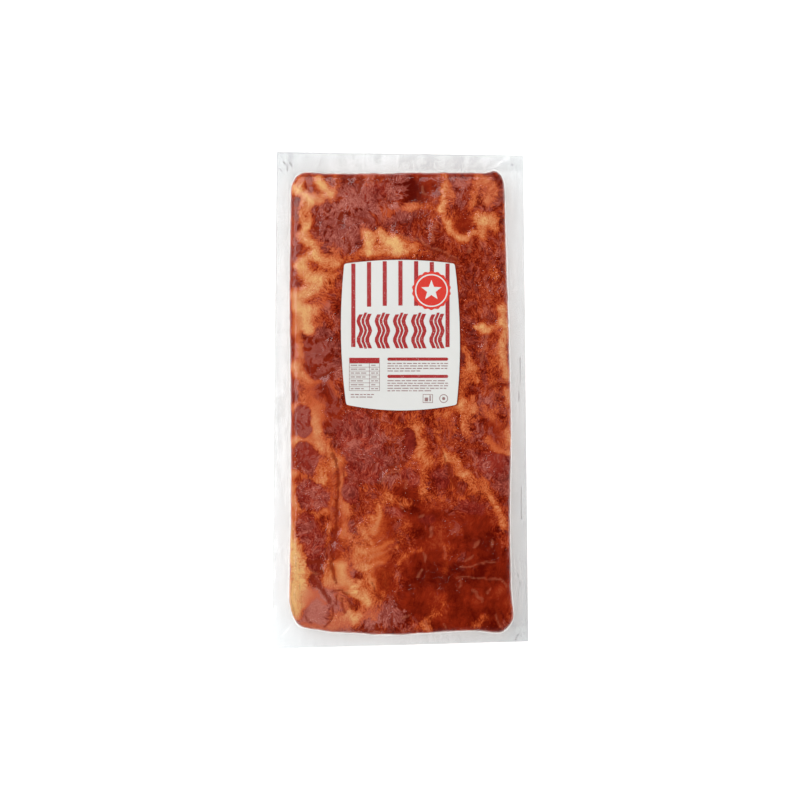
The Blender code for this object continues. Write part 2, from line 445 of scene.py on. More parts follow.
# %% Fat between the rib beds at the left
FAT_AT_LEFT = [
    (0.26, 3.4, [(-61, -8), (-58, -16), (-57, -24), (-55, -31), (-51, -38), (-47, -46)]),
    (0.2, 1.4, [(-58, -16), (-57, -25), (-54, -33)]),
    (0.12, 1.8, [(-50, -27), (-47, -35), (-43, -41)]),
    (0.25, 2, [(-76, -30), (-70, -29), (-64, -27), (-61, -24)]),
    (0.05, 1.8, [(-75, -8), (-75, -30), (-75, -50)]),
    (0.15, 1.6, [(-74, -50), (-66, -53), (-60, -56), (-54, -58)]),
    (0.4, 2.2, [(-57, -43), (-55, -50), (-55, -56)]),
    (0.3, 1.4, [(-76, -52), (-75, -60)]),
    (0.25, 1.4, [(-76, -64), (-76, -78), (-76, -90)]),
    (0.05, 1.6, [(-73, -60), (-73, -72), (-73, -88)]),
    (0.2, 1.1, [(-74, -70), (-70, -76), (-64, -80), (-57, -80), (-52, -76)]),
    (0.12, 2.6, [(-48, -48), (-48, -62), (-48, -74), (-48, -86)]),
    (0.2, 3.2, [(-41, -42), (-39, -52), (-39, -64), (-39, -78), (-39, -92)]),
    (0.2, 0.8, [(-50, -88), (-50, -100), (-50, -112)]),
    (0.3, 2, [(-71, -29), (-62, -31)]),
    (0.2, 4, [(-38, -56), (-36, -76)]),
]

# %% Fat in the middle of the lower half
FAT_AT_CENTRE = [
    (0.12, 3.4, [(-9, -63), (-13, -73), (-18, -82)]),
    (0.2, 6.5, [(-22, -84), (-26, -98), (-29, -112)]),
    (0.14, 7, [(-12, -86), (-14, -100), (-19, -116)]),
    (0.1, 5, [(-38, -92), (-38, -110)]),
    (0, 5, [(3, -90), (-1, -101)]),
    (0, 4, [(-9, -120), (-10, -129)]),
    (0.1, 0.6, [(-29, -86), (-24, -96), (-20, -100)]),
    (0.1, 0.6, [(-26, -105), (-16, -104), (-5, -98)]),
    (0.1, 0.6, [(-21, -109), (-12, -107), (-3, -103)]),
    (0.1, 0.6, [(-30, -118), (-20, -114), (-8, -110)]),
    (0.15, 0.7, [(-16, -72), (-13, -82), (-19, -92)]),
    (0.15, 0.7, [(-34, -94), (-28, -104), (-32, -116)]),
    (0.2, 1, [(0, -112), (7, -106), (15, -104)]),
    (0.1, 1.2, [(-18, -49), (-8, -50), (-2, -48), (4, -45), (10, -39)]),
    (0.05, 2.4, [(-26, -60), (-20, -62), (-14, -58)]),
    (0.12, 2.6, [(-6, -69), (6, -72)]),
]

# %% Fat at the right of the lower half
FAT_AT_RIGHT = [
    (0.15, 3.6, [(9, -8), (11, -18)]),
    (0.2, 3, [(13, -20), (15, -30), (14, -38), (17, -45), (17, -54), (14, -62)]),
    (0.2, 1.6, [(15, -30), (15, -38)]),
    (0.14, 2.2, [(19, -43), (29, -42)]),
    (0.1, 2, [(22, -12), (27, -18)]),
    (0.14, 2, [(33, -12), (37, -22)]),
    (0.06, 3, [(66, -10), (68, -20), (72, -30)]),
    (0.1, 1.2, [(25, -22), (28, -31), (31, -38)]),
    (0.34, 2.8, [(33, -38), (38, -44), (44, -50)]),
    (0.25, 3, [(46, -53), (52, -57), (59, -57)]),
    (0.15, 3.4, [(50, -63), (57, -64)]),
    (0.15, 2.2, [(62, -62), (66, -71), (70, -79), (75, -88)]),
    (0.2, 1.2, [(64, -68), (68, -77), (71, -86)]),
    (0.06, 1.8, [(34, -54), (38, -64), (44, -71), (54, -77)]),
    (0.05, 3.4, [(17, -66), (28, -68)]),
    (0.25, 1.1, [(76, -24), (76, -40)]),
    (0.35, 1.4, [(60, -28), (66, -34), (74, -37)]),
    (0, 1.6, [(32, -103), (32, -118)]),
    (0, 2, [(31, -136), (28, -144)]),
    (0.1, 1.2, [(18, -153), (24, -149), (29, -148)]),
    (0.1, 1.4, [(52, -158), (60, -151)]),
    (0.3, 1.2, [(14, -157), (19, -158)]),
]

# %% Fat at the foot
FAT_AT_FOOT = [
    (1, 3, [(-77, -92), (-75, -104), (-74, -118), (-74, -134), (-75, -148)]),
    (1, 1, [(-75, -108), (-73, -120), (-72, -134), (-73, -144)]),
    (0.7, 2.4, [(-70, -117), (-67, -128), (-67, -140)]),
    (0.3, 1.6, [(-66, -157), (-46, -159)]),
    (0.4, 2.4, [(-70, -108), (-62, -112)]),
    (0.4, 2.4, [(-68, -128), (-62, -136)]),
    (0.35, 3.4, [(-47, -126), (-43, -135)]),
    (0.3, 2.4, [(-48, -149), (-40, -151)]),
    (0.3, 2.6, [(-38, -139), (-36, -147)]),
    (0.2, 4, [(-26, -117), (-20, -127)]),
    (0.5, 1.2, [(-70, -116), (-69, -128), (-69, -140), (-71, -150)]),
    (0.4, 1.2, [(-72, -108), (-67, -114), (-62, -121), (-57, -129), (-53, -141)]),
    (0.1, 1.4, [(-71, -92), (-71, -104)]),
    (0.2, 1.4, [(-66, -110), (-58, -108)]),
    (0.3, 1.6, [(-51, -116), (-50, -128)]),
    (0.35, 5, [(-43, -115), (-40, -124), (-35, -130)]),
    (0.4, 4.6, [(-30, -130), (-23, -136)]),
    (0.25, 3.6, [(-24, -140), (-26, -148), (-32, -151)]),
    (0.3, 1, [(-44, -114), (-41, -120), (-39, -127)]),
    (0.3, 1, [(-40, -115), (-36, -124), (-30, -129)]),
    (0.35, 1, [(-32, -133), (-25, -137), (-22, -142)]),
    (0.4, 0.9, [(-35, -148), (-32, -151), (-28, -150)]),
    (0.22, 3.6, [(-47, -156), (-38, -156), (-32, -155)]),
    (0.15, 1.4, [(-20, -127), (-17, -134), (-18, -142), (-20, -150)]),
    (0.15, 0.8, [(-12, -134), (-14, -144), (-18, -150)]),
]

# %% [markdown]
# Islands are beds of lean that lie between the ribs. They cut through the fat with a clear edge.
# Seams are the deep lines where two muscles meet: the film can't follow them, and their dark is painted
# shade along the groove. Ridges are the thin raised lines of sinew, and each carries a painted
# highlight, a light line that stands for the glint of the film over it. Haze, wet and even zones are
# wide soft areas: painted haze where the film bridges a hollow, the film's reflection of the light
# painted into the meat's colour, wet where juice lets it cling, and even where the colour hardly
# changes from one spot to the next. A haze zone's first number says how strong the painted haze is,
# from 0 to 1, and the palest patches go past 1.

# %% Islands of lean
LEAN_ISLANDS = [
    (5, [(-67, -8), (-67, -20)]),
    (7, [(-66, -36), (-64, -43)]),
    (9, [(-63, -64), (-59, -68)]),
    (6.5, [(-65, -86), (-61, -96), (-59, -105)]),
    (3, [(-62, -113), (-56, -115)]),
    (2.2, [(-60, -123), (-55, -130), (-52, -139)]),
    (5, [(27, -53), (30, -58)]),
    (3.6, [(44, -74), (55, -76)]),
    (4, [(4, -50), (9, -56)]),
    (3, [(6, -22), (7, -34)]),
    (3, [(17, -83), (23, -82)]),
    (2.4, [(-6, -77), (0, -79)]),
    (14, [(-30, -22), (-24, -36), (-22, -44)]),
    (6, [(-34, -58), (-34, -66)]),
    (8, [(62, -44), (70, -46)]),
    (6, [(-34, 140), (-12, 146)]),
]

# %% Seams, dark with painted shade
SHADED_SEAMS = [
    (1, [(18, 106), (30, 101), (39, 97)]),
    (2.2, [(-41, 129), (-41, 122)]),
    (1, [(-32, 129), (-22, 124)]),
    (1.4, [(-59, 120), (-57, 116)]),
    (1, [(-51, 133), (-49, 128)]),
    (1.3, [(-36, 152), (-35, 156)]),
    (1.4, [(-27, 152), (-29, 144)]),
    (1, [(-36, 112), (-35, 102)]),
    (1, [(-41, 109), (-37, 106)]),
    (1.2, [(-57, 41), (-51, 43)]),
    (1, [(-54, 30), (-52, 28)]),
    (1.3, [(-57, 17), (-52, 19), (-47, 22)]),
    (1, [(62, 9), (67, 11), (74, 11)]),
    (1, [
        (-47, -38), (-44, -48), (-43, -56), (-43, -66), (-44, -76), (-45, -86), (-46, -94),
        (-47, -104), (-48, -114), (-46, -122), (-44, -127)]),
    (1.6, [(-64, -112), (-56, -113), (-53, -119)]),
    (1.4, [(-61, -122), (-56, -127), (-53, -134), (-51, -141)]),
    (0.8, [(-48, -134), (-42, -132), (-36, -134)]),
    (0.8, [(-44, -136), (-44, -143)]),
    (0.8, [(-40, -137), (-38, -147)]),
    (0.8, [(-36, -137), (-33, -145)]),
    (0.8, [(-46, -148), (-53, -157)]),
    (0.8, [(-49, -138), (-46, -147)]),
    (0.8, [(-65, -151), (-61, -155)]),
    (0.8, [(-20, -127), (-16, -134), (-12, -138)]),
    (0.9, [(-13, -149), (-12, -159)]),
    (0.9, [(-6, -148), (-5, -159)]),
    (1.2, [(-20, -157), (-17, -160)]),
    (1.2, [(33, -44), (36, -53), (39, -61), (46, -67), (53, -71)]),
    (0.7, [(27, -32), (31, -40), (33, -46)]),
    (0.8, [(-39, -47), (-38, -54), (-34, -58), (-28, -59)]),
    (0.8, [(-33, -76), (-30, -71)]),
    (0.8, [(-20, -48), (-15, -40), (-12, -36)]),
    (0.7, [(-14, -49), (-6, -46), (2, -42)]),
    (1, [(66, -143), (69, -149), (72, -156)]),
    (0.1, [(-74, -104), (-73, -122), (-72, -140)]),
    (0.1, [(-70, -114), (-69, -130), (-69, -150)]),
    (0.1, [(-76, -120), (-75, -136), (-74, -150)]),
]

# %% Ridges of sinew, each lit by a painted highlight
HIGHLIGHT_RIDGES = [
    (0.9, [(0, 115), (16, 109), (30, 103), (39, 98)]),
    (0.9, [(49, 117), (48, 108), (47, 103)]),
    (0.9, [(55, 112), (56, 105)]),
    (0.9, [(14, 149), (16, 145), (18, 143)]),
    (0.9, [(25, 123), (22, 116), (23, 111)]),
    (0.9, [(60, 47), (60, 38), (56, 27)]),
    (1.3, [(70, 37), (66, 33)]),
    (0.8, [(-16, -57), (-8, -52), (-1, -48)]),
    (1.1, [(-65, -116), (-57, -121)]),
    (0.6, [(40, -123), (56, -123), (72, -125)]),
    (0.6, [(42, -116), (56, -114), (67, -113)]),
    (0.7, [(54, -98), (52, -102)]),
    (0.7, [(64, -98), (63, -102)]),
    (0.7, [(62, -130), (60, -135)]),
    (0.7, [(15, -117), (12, -123)]),
    (1, [(16, -107), (18, -111)]),
    (1, [(17, -155), (19, -159)]),
    (0.7, [(30, -156), (32, -159)]),
    (0.7, [(8, -149), (2, -152)]),
    (0.7, [(31, -103), (32, -110)]),
    (0.7, [(45, -111), (51, -107)]),
    (0.7, [(43, -124), (41, -130)]),
    (0.7, [(50, -132), (56, -139)]),
    (0.8, [(70, -124), (74, -130)]),
    (0.9, [(67, -149), (71, -157)]),
    (0.7, [(3, -55), (4, -61)]),
    (0.9, [(0, -71), (2, -75)]),
    (0.9, [(13, -81), (17, -79)]),
    (0.9, [(22, -88), (20, -95)]),
    (0.4, [(-38, -108), (-24, -100), (-8, -96)]),
    (0.4, [(-34, -118), (-20, -108), (-4, -104)]),
    (0.4, [(-28, -92), (-16, -86)]),
    (0.4, [(-30, -100), (-14, -90)]),
    (0.4, [(-24, -122), (-12, -112)]),
    (0.4, [(-40, -96), (-28, -90)]),
    (0.5, [(-62, -12), (-57, -25), (-52, -35), (-47, -46), (-46, -58), (-47, -76), (-50, -92)]),
    (0.5, [(-41, -50), (-40, -64), (-40, -80), (-39, -96)]),
]

# %% Zones of painted haze: the film's reflection, painted into the meat
PAINTED_HAZE_ZONES = [
    (0.9, 13, [(-48, 132), (-36, 138)]),
    (0.35, 9, [(-24, 138), (-8, 146)]),
    (0.8, 7, [(60, 150), (62, 138)]),
    (1, 12, [(-45, 115), (-28, 132)]),
    (0.9, 7, [(0, 152), (2, 130)]),
    (0.7, 5, [(39, 149), (40, 137)]),
    (0.7, 9, [(-55, 43), (-51, 21)]),
    (0.6, 6, [(63, 0), (56, -3)]),
    (0.35, 9, [(-44, -22), (-35, -32), (-24, -38)]),
    (0.9, 5, [(-67, -10), (-66, -22)]),
    (0.4, 6, [(-65, -36), (-64, -44)]),
    (0.3, 8, [(-62, -62), (-58, -70)]),
    (0.3, 6, [(-64, -90), (-58, -104)]),
    (0.5, 6, [(-20, -20), (-14, -34), (-8, -54)]),
    (0.7, 3, [(-35, -86), (-33, -96)]),
    (0.7, 3, [(-36, -111), (-33, -122)]),
    (1.8, 8, [(-60, -138), (-58, -152)]),
    (1.3, 6, [(-43, -140), (-42, -147)]),
    (1.2, 6, [(-22, -153), (-10, -148), (-2, -150)]),
    (0.4, 4, [(-40, -50), (-39, -78)]),
    (0.4, 3, [(-75, 134), (-75, 104)]),
    (0.6, 5, [(-70, 36), (-68, 8)]),
    (0.4, 3, [(-75, -12), (-74, -50)]),
    (0.5, 4, [(4, -24), (2, -36)]),
    (0.5, 5, [(50, -19), (57, -22)]),
    (0.35, 7, [(66, -18), (70, -28)]),
    (0.35, 6, [(56, -45), (68, -50)]),
    (0.5, 4, [(75, 152), (76, 100), (77, 60), (76, 0), (75, -60)]),
    (1.7, 5, [(-66, -154), (-50, -157), (-38, -156)]),
    (1.4, 6, [(-46, -134), (-42, -144)]),
    (0.5, 5, [(-46, 12), (-44, 2)]),
    (0.5, 10, [(-62, 70), (-58, 20), (-60, -32)]),
]

# %% Wet zones
WET_ZONES = [
    (14, [(16, -117), (43, -130), (63, -137)]),
    (12, [(56, -103), (63, -117), (70, -130)]),
    (10, [(10, -137), (30, -153), (56, -150)]),
    (10, [(53, -87), (56, -107)]),
    (7, [(4, -67), (13, -84), (23, -81)]),
    (7, [(15, 153), (10, 145)]),
    (5, [(43, 122), (42, 117)]),
    (4, [(8, -22), (9, -30)]),
    (8, [(18, -98), (34, -101)]),
    (4, [(-9, -119), (-9, -129)]),
]

# %% Even zones
EVEN_ZONES = [
    (2.4, [(-74, -8), (-74, -50), (-74, -90)]),
    (2, [(-48, -50), (-48, -84)]),
    (2.4, [(-41, -42), (-40, -60), (-39, -84), (-38, -100)]),
    (3, [(-44, -88), (-44, -112)]),
    (7, [(-60, -138), (-60, -150)]),
    (5, [(-42, -117), (-39, -127)]),
    (8, [(-10, -88), (-14, -105), (-12, -125)]),
    (14, [(16, -117), (43, -130), (63, -137)]),
    (10, [(40, -88), (60, -105)]),
    (3, [(-74, 120), (-74, 60), (-74, 0)]),
    (5, [(66, -18), (68, -46)]),
    (10, [(-57, 34), (-55, 8), (-50, -12)]),
    (6, [(-66, -8), (-66, -22), (-64, -42)]),
]

# %% [markdown]
# ## The slab: paint the strokes on
# Each point of the slab gets, for each kind of stroke, how deep it lies inside the nearest one
# in millimetres. Depth is better than a plain mask: it changes evenly from point to point, so a
# material can cut it with a fine noise and get a crisp ragged edge far finer than the net of
# faces. The plan is swayed by noise first, so that no stroke shows its straight runs.

# %% How deep a point lies in a stroke
def stroke_depth(plan, path, radius):
    nearest = np.full(len(plan), np.inf)
    for start, end in zip(path[:-1], path[1:]):
        start = np.array(start, float)
        run = np.array(end, float) - start
        share = np.clip((plan - start) @ run / (run @ run), 0, 1)
        off_line = plan - start - share[:, None] * run
        nearest = np.minimum(nearest, np.hypot(off_line[:, 0], off_line[:, 1]))
    return radius - nearest


def deepest(plan, strokes):
    return np.max([stroke_depth(plan, path, radius) for radius, path in strokes], axis=0)


def fat_cover(plan, strokes):
    """How much fat shows, from 0 to 1. Strokes that lie close merge into one patch."""
    bare = np.ones(len(plan))
    for cream, radius, path in strokes:
        fade = min(4.5, 1.5 + 2 * radius)
        inside = smooth_step(-fade, 0.8 * radius, stroke_depth(plan, path, radius))
        bare *= 1 - (0.25 + 0.7 * cream) * inside
    return 1 - bare


# %% Give the block its plan
points = points_of(slab)
narrower = 1 - lean_in(points[:, 2]) / HALF_WIDTH
points[:, 0], points[:, 1] = slab_taper(points[:, 0] * narrower, points[:, 1] * narrower)
plan_low, plan_high = np.min(points, axis=0) / MM, np.max(points, axis=0) / MM
print("slab's plan from", plan_low[:2].round(1), "to", plan_high[:2].round(1), "mm")

# %% Paint fat, islands, and the ridges that carry painted highlights
SWAY_LAYERS = [(2.2, 11 * MM), (1.3, 4 * MM)]
sway_x = layered_bumps(points, SWAY_LAYERS, seed=1)
sway_y = layered_bumps(points, SWAY_LAYERS, seed=3)
plan = points[:, :2] / MM + np.column_stack([sway_x, sway_y])

all_fat = FAT_AT_HEAD + FAT_BY_LABEL + FAT_AT_LEFT + FAT_AT_CENTRE + FAT_AT_RIGHT + FAT_AT_FOOT
island = smooth_step(-1.2, 0.8, deepest(plan, LEAN_ISLANDS))
fat = fat_cover(plan, all_fat) * (1 - island)
highlight_ridge_depth = deepest(plan, HIGHLIGHT_RIDGES)
print(len(all_fat), "strokes of fat cover", round(100 * fat.mean()), "% of the slab")

# %% Paint the zones of painted haze, and the wet and even zones
SOFT_EDGE = (-7, 4)
painted_haze = np.max(
    [
        share * smooth_step(*SOFT_EDGE, stroke_depth(plan, path, radius))
        for share, radius, path in PAINTED_HAZE_ZONES
    ],
    axis=0,
)
wet = smooth_step(*SOFT_EDGE, deepest(plan, WET_ZONES))
even = smooth_step(-3, 3, deepest(plan, EVEN_ZONES))
print("milky, wet, even:", [round(100 * zone.mean()) for zone in (painted_haze, wet, even)], "%")

# %% [markdown]
# The stiff paper holds the film a hair off the meat along its edge. A thin dark line of painted shadow
# runs there at the head, the right and the foot. It is painted as one more seam, on the plan as it is
# before the sway, because paper has a clean edge. The line is shifted a little to the upper right, out
# from under the paper.

# %% Paint the shade of the seams, and the painted shadow along the label
RIM_STEPS = 12
SHADOW_SHIFT = (0.4, 0.3)
SHADOW_RADIUS = 0.7


def label_shadow_path():
    """The path of the painted shadow: the label's head, right and foot edges as one path, in mm."""
    turn = np.linspace(-1, 1, RIM_STEPS + 1)[:-1]
    one = np.ones(RIM_STEPS)
    edges = [label_plan(turn, one), label_plan(one, -turn), label_plan(-turn, -one)]
    return [(x / MM + SHADOW_SHIFT[0], y / MM + SHADOW_SHIFT[1]) for edge in edges for x, y in zip(*edge)]


label_shadow_depth = stroke_depth(points[:, :2] / MM, label_shadow_path(), SHADOW_RADIUS)
# The painted shade of the seams and the painted shadow along the label go into one depth.
seam_shade_depth = np.maximum(deepest(plan, SHADED_SEAMS), label_shadow_depth)
print(len(SHADED_SEAMS), "seams, and", np.count_nonzero(label_shadow_depth > 0), "points along the label")

# %% [markdown]
# The same strokes also shape the meat: fat and sinew stand a little proud of the lean, seams
# sink in. Over that go lumps of three sizes, calmer under the label, because the paper presses
# them flat. The whole upper face starts a little lower, so that what rises keeps within the film.

# %% Raise and sink the surface
LUMP_LAYERS = [(0.35, 9 * MM), (0.25, 4 * MM), (0.12, 2 * MM)]
FAT_RISE, RIDGE_RISE, SEAM_SINK = 0.45, 0.35, 0.3
FACE_SINK = 0.25 * MM
facing_up = smooth_step(TOP_Z - 6 * MM, TOP_Z - 2 * MM, points[:, 2])
calm = 1 - 0.7 * under_label(points[:, 0], points[:, 1]) * facing_up
lumps = layered_bumps(points, LUMP_LAYERS, seed=5)
raised = FAT_RISE * fat + RIDGE_RISE * smooth_step(-1.2, 0.6, highlight_ridge_depth)
sunk = SEAM_SINK * smooth_step(-1.6, 0.8, seam_shade_depth)
out_by = MM * (lumps * calm + (raised - sunk) * facing_up * calm)
out_by -= FACE_SINK * facing_up

put_points(slab, points)
shaped = points + normals_of(slab) * out_by[:, None]
shaped[:, 2] += swell(shaped[:, 0], shaped[:, 1], points[:, 2])
shaped[:, 2] = np.maximum(shaped[:, 2], FILM_GAP)
put_points(slab, shaped)
low, high = np.min(shaped, axis=0) / MM, np.max(shaped, axis=0) / MM
print("slab from", low.round(1), "to", high.round(1), "mm")

# %% Store what is painted, for the material to read
DEPTH_LIMIT = 8
painted = {
    "fat": fat,
    "lump": lumps,
    "seam_shade_depth": np.clip(seam_shade_depth, -DEPTH_LIMIT, DEPTH_LIMIT),
    "highlight_ridge_depth": np.clip(highlight_ridge_depth, -DEPTH_LIMIT, DEPTH_LIMIT),
    "painted_haze": painted_haze,
    "wet": wet,
    "even": even,
    "island": island,
}
for name, values in painted.items():
    put_values(slab, name, values)
activate(slab)
bpy.ops.object.shade_smooth()
print("stored on each point:", ", ".join(painted))

# %% [markdown]
# ## The webs of film
# A thermoformed pack has two webs. The lower one is a shallow tray. The upper one is a flat
# sheet that the vacuum draws down over the meat to the flange, where both are welded. Here each
# starts as one flat grid. The middle cells of the grid become the face, and the outer rings of
# cells, counted outwards, become the round edge, the wall, a fillet and the flange. In the
# corners those rings fan out round the slab's own corner radius. Both webs use the same rings,
# so their flanges match point for point.

# %% Rings of the sheet
CELLS_ACROSS, CELLS_ALONG = 76, 160
EDGE_RINGS, WALL_RINGS, FILLET_RINGS, FLANGE_RINGS = 6, 6, 4, 8
RINGS = EDGE_RINGS + WALL_RINGS + FILLET_RINGS + FLANGE_RINGS
CORNER_CELLS = 4
FILLET = 0.9 * MM
FILM_THICKNESS = 0.12 * MM


def count_rings(flat):
    """For each axis of the grid: from -1 to 1 over the face, then on to 2 at the flange's edge."""
    counted = []
    for axis, cells in ((0, CELLS_ACROSS), (1, CELLS_ALONG)):
        cell = (flat[:, axis] + 1) / 2 * (cells + 2 * RINGS) - RINGS
        face = 2 * np.clip(cell, 0, cells) / cells - 1
        rings = np.clip(cell - cells, 0, RINGS) - np.clip(-cell, 0, RINGS)
        counted.append(face + rings / RINGS)
    return counted


def section(face_z, edge_radius):
    """Offset from the slab's outline, height and share of the flange, for each ring."""
    way = math.copysign(1, FLANGE_Z - face_z)
    rows = []
    for ring in range(EDGE_RINGS + 1):
        turn = math.pi / 2 * ring / EDGE_RINGS
        inward = edge_radius * (math.sin(turn) - 1)
        rows.append((inward, face_z + way * edge_radius * (1 - math.cos(turn)), 0))
    wall_start = face_z + way * edge_radius
    wall_end = FLANGE_Z - way * FILLET
    for ring in range(1, WALL_RINGS + 1):
        rows.append((0, wall_start + (wall_end - wall_start) * ring / WALL_RINGS, 0))
    for ring in range(1, FILLET_RINGS + 1):
        turn = math.pi / 2 * ring / FILLET_RINGS
        rows.append((FILLET * (1 - math.cos(turn)), wall_end + way * FILLET * math.sin(turn), 0))
    for ring in range(1, FLANGE_RINGS + 1):
        rows.append((FILLET, FLANGE_Z, ring / FLANGE_RINGS))
    return np.array(rows).T


# %% [markdown]
# The weld is the pack's plainest part, and the one that shows how it was made. The hot press leaves it
# slightly wavy, with a crease across each corner. A few small folds are listed below as strokes like
# those of the meat; they are drawn only as painted shade in the film's tint. Where it pressed hardest
# the film went from clear to a grey haze, and painted shade makes it greyer down the right side and up
# the left one. How clear and how lit it is, with that painted shade, is stored on each point, for the
# film's material.

# %% Small folds of the flange, drawn only as painted shade
SHADED_FOLDS = [
    (0.5, [(-82, 167), (-79, 164), (-79, 160)]),
    (0.4, [(-77, 166), (-75, 163)]),
    (0.4, [(-85, 162), (-82, 160)]),
    (0.5, [(81, -168), (83, -163)]),
    (0.4, [(85, -166), (87, -163)]),
    (0.4, [(78, 165), (81, 163)]),
    (0.3, [(82, -120), (84, -128), (83, -136)]),
    (0.3, [(84, 30), (84, 12), (83, -2)]),
    (0.3, [(85, -60), (85, -84)]),
]


# %% Waves, creases, and the haze and painted shade of the flange
def long_bumps(x, y, squeeze, size, seed):
    """Bumps that run along the pack, because its length is squeezed first."""
    return bumps(np.column_stack([x, y * squeeze, 0 * x]), size, seed)


def flange_waves(x, y, spread):
    """How far the flange lies above or below its own level. Spread is 0 at the slab's wall."""
    waves = 0.9 * long_bumps(x, y, 0.45, 8 * MM, 8)
    ripples = 0.5 * long_bumps(x, y, 0.25, 3 * MM, 9)
    diagonal = np.abs(np.abs(x) - HALF_WIDTH - np.abs(y) + HEAD_Y)
    crease = np.exp(-((diagonal / (1.2 * MM)) ** 2)) * smooth_step(0, 0.4, spread)
    return MM * (spread * (waves + ripples) * 0.55 + 0.7 * crease * (1 - spread) - 0.2 * crease)


def weld_clear_and_lit(x, y):
    """0 where the weld is a grey haze in painted shade, 1 where it is clear and lit. It turns grey down
    the right side and up the left one, as painted shade over the weld's haze. The right half of the
    head end is greyer still, and the foot end a little clearer."""
    slant = 0.39 * (x / HALF_WIDTH) * (y / HEAD_Y)
    past_head = smooth_step(HEAD_Y - 2 * MM, HEAD_Y + 4 * MM, y)
    past_foot = smooth_step(HEAD_Y - 2 * MM, HEAD_Y + 4 * MM, -y)
    head_haze = 0.55 * past_head * smooth_step(-40 * MM, 50 * MM, x)
    return np.clip(0.49 + slant - head_haze + 0.2 * past_foot, 0, 0.76)


# %% [markdown]
# Every point of the grid belongs to one side of the sheet. Most lie on the straight of that
# side, and the last few before a corner turn round it instead. From its run along the straight
# and its turn in the corner follow a point's place on the slab's rounded plan, and its place
# on the flange, whose corners are square.

# %% Fan the rings out round the corners
def fan_out(across, along, ring, face_share):
    """Whether a point is beside the slab, its run along the side, and its turn in the corner."""
    beside = np.abs(across) >= np.abs(along)
    cells = np.where(beside, CELLS_ALONG, CELLS_ACROSS) / 2
    shorter = np.where(beside, np.abs(along), np.abs(across)) / face_share
    to_corner = np.where(shorter < 1, cells * (1 - shorter), RINGS * (1 - shorter))
    turn = np.clip((CORNER_CELLS - to_corner) / (CORNER_CELLS + ring), 0, 1) * math.pi / 4
    turn = np.where(beside, turn, math.pi / 2 - turn)
    run = 1 - np.clip(to_corner - CORNER_CELLS, 0, None) / (cells - CORNER_CELLS)
    return beside, run, turn


# %% Lay a flat sheet over the pack
def lay_sheet(name, face_z, edge_radius):
    """Makes one web, and stores where it is welded, how clear it is there with its painted shade, and
    the painted shade of its folds.
    """
    bpy.ops.mesh.primitive_grid_add(
        x_subdivisions=CELLS_ACROSS + 2 * RINGS,
        y_subdivisions=CELLS_ALONG + 2 * RINGS,
        size=2,
    )
    web = new_piece(name)
    across, along = count_rings(points_of(web))
    size = np.maximum(np.abs(across), np.abs(along))
    ring = np.clip(size - 1, 0, 1) * RINGS
    face_share = np.clip(size, 1e-9, 1)
    beside, run, turn = fan_out(across, along, ring, face_share)

    rows = section(face_z, edge_radius)
    inward, z, spread = (np.interp(ring, range(RINGS + 1), row) for row in rows)
    corner = np.where(along > 0, HEAD_CORNER, FOOT_CORNER)
    reach = np.maximum(corner + inward, 0)
    centre_x = (HALF_WIDTH - corner) * np.where(beside, 1, run)
    centre_y = (HEAD_Y - corner) * np.where(beside, run, 1)
    x = np.sign(across) * face_share * (centre_x + reach * np.cos(turn))
    y = np.sign(along) * face_share * (centre_y + reach * np.sin(turn))
    narrower = 1 - lean_in(z) / HALF_WIDTH
    x, y = slab_taper(x * narrower, y * narrower)

    square = np.maximum(np.cos(turn), np.sin(turn))
    out_x = centre_x + (HALF_WIDTH - centre_x) * np.cos(turn) / square
    out_y = centre_y + (HEAD_Y - centre_y) * np.sin(turn) / square
    out_x = np.sign(across) * out_x / HALF_WIDTH
    out_y = np.sign(along) * out_y / HEAD_Y
    rim_x, rim_y = flange_taper(out_x, out_y)
    x += (rim_x - x) * spread
    y += (rim_y - y) * spread
    z += swell(x, y, z) + flange_waves(x, y, spread) - FLANGE_DROOP * spread
    put_points(web, np.column_stack([x, y, z]))

    past_fillet = (ring - EDGE_RINGS - WALL_RINGS) / FILLET_RINGS
    fold_shade_depth = deepest(np.column_stack([x, y]) / MM, SHADED_FOLDS)
    put_values(web, "weld", smooth_step(0.2, 1.0, past_fillet))
    put_values(web, "clear_and_lit", weld_clear_and_lit(x, y))
    put_values(web, "fold_shade_depth", np.clip(fold_shade_depth, -DEPTH_LIMIT, DEPTH_LIMIT))
    return web


upper_web = lay_sheet("upper_web", TOP_Z, UPPER_EDGE)
base_web = lay_sheet("base_web", FILM_THICKNESS, LOWER_EDGE)
print("triangles in each web:", triangle_count(upper_web), triangle_count(base_web))

# %% [markdown]
# The vacuum pulls the upper web onto every lump of the meat. A Shrinkwrap does the same to the
# points of the face, the round edge and the upper wall: each goes to a fixed gap above the
# nearest meat. Lower down the film spans freely to the flange. A light smoothing rounds the
# small steps, as the film's own stiffness does, and a Solidify gives each web its thickness.
# The lower web's faces are flipped first, because its outside looks down.

# %% Draw the upper web onto the meat
CLING_GAP = 0.33 * MM
upper_points = points_of(upper_web)
clings = smooth_step(FLANGE_Z + 3 * MM, FLANGE_Z + 9 * MM, upper_points[:, 2])
cling_group = upper_web.vertex_groups.new(name="clings")
for index, weight in enumerate(clings.tolist()):
    cling_group.add([index], weight, "REPLACE")
modify(
    upper_web,
    "SHRINKWRAP",
    target=slab,
    wrap_method="NEAREST_SURFACEPOINT",
    wrap_mode="ABOVE_SURFACE",
    offset=CLING_GAP,
    vertex_group="clings",
)
modify(upper_web, "SMOOTH", factor=0.5, iterations=2)

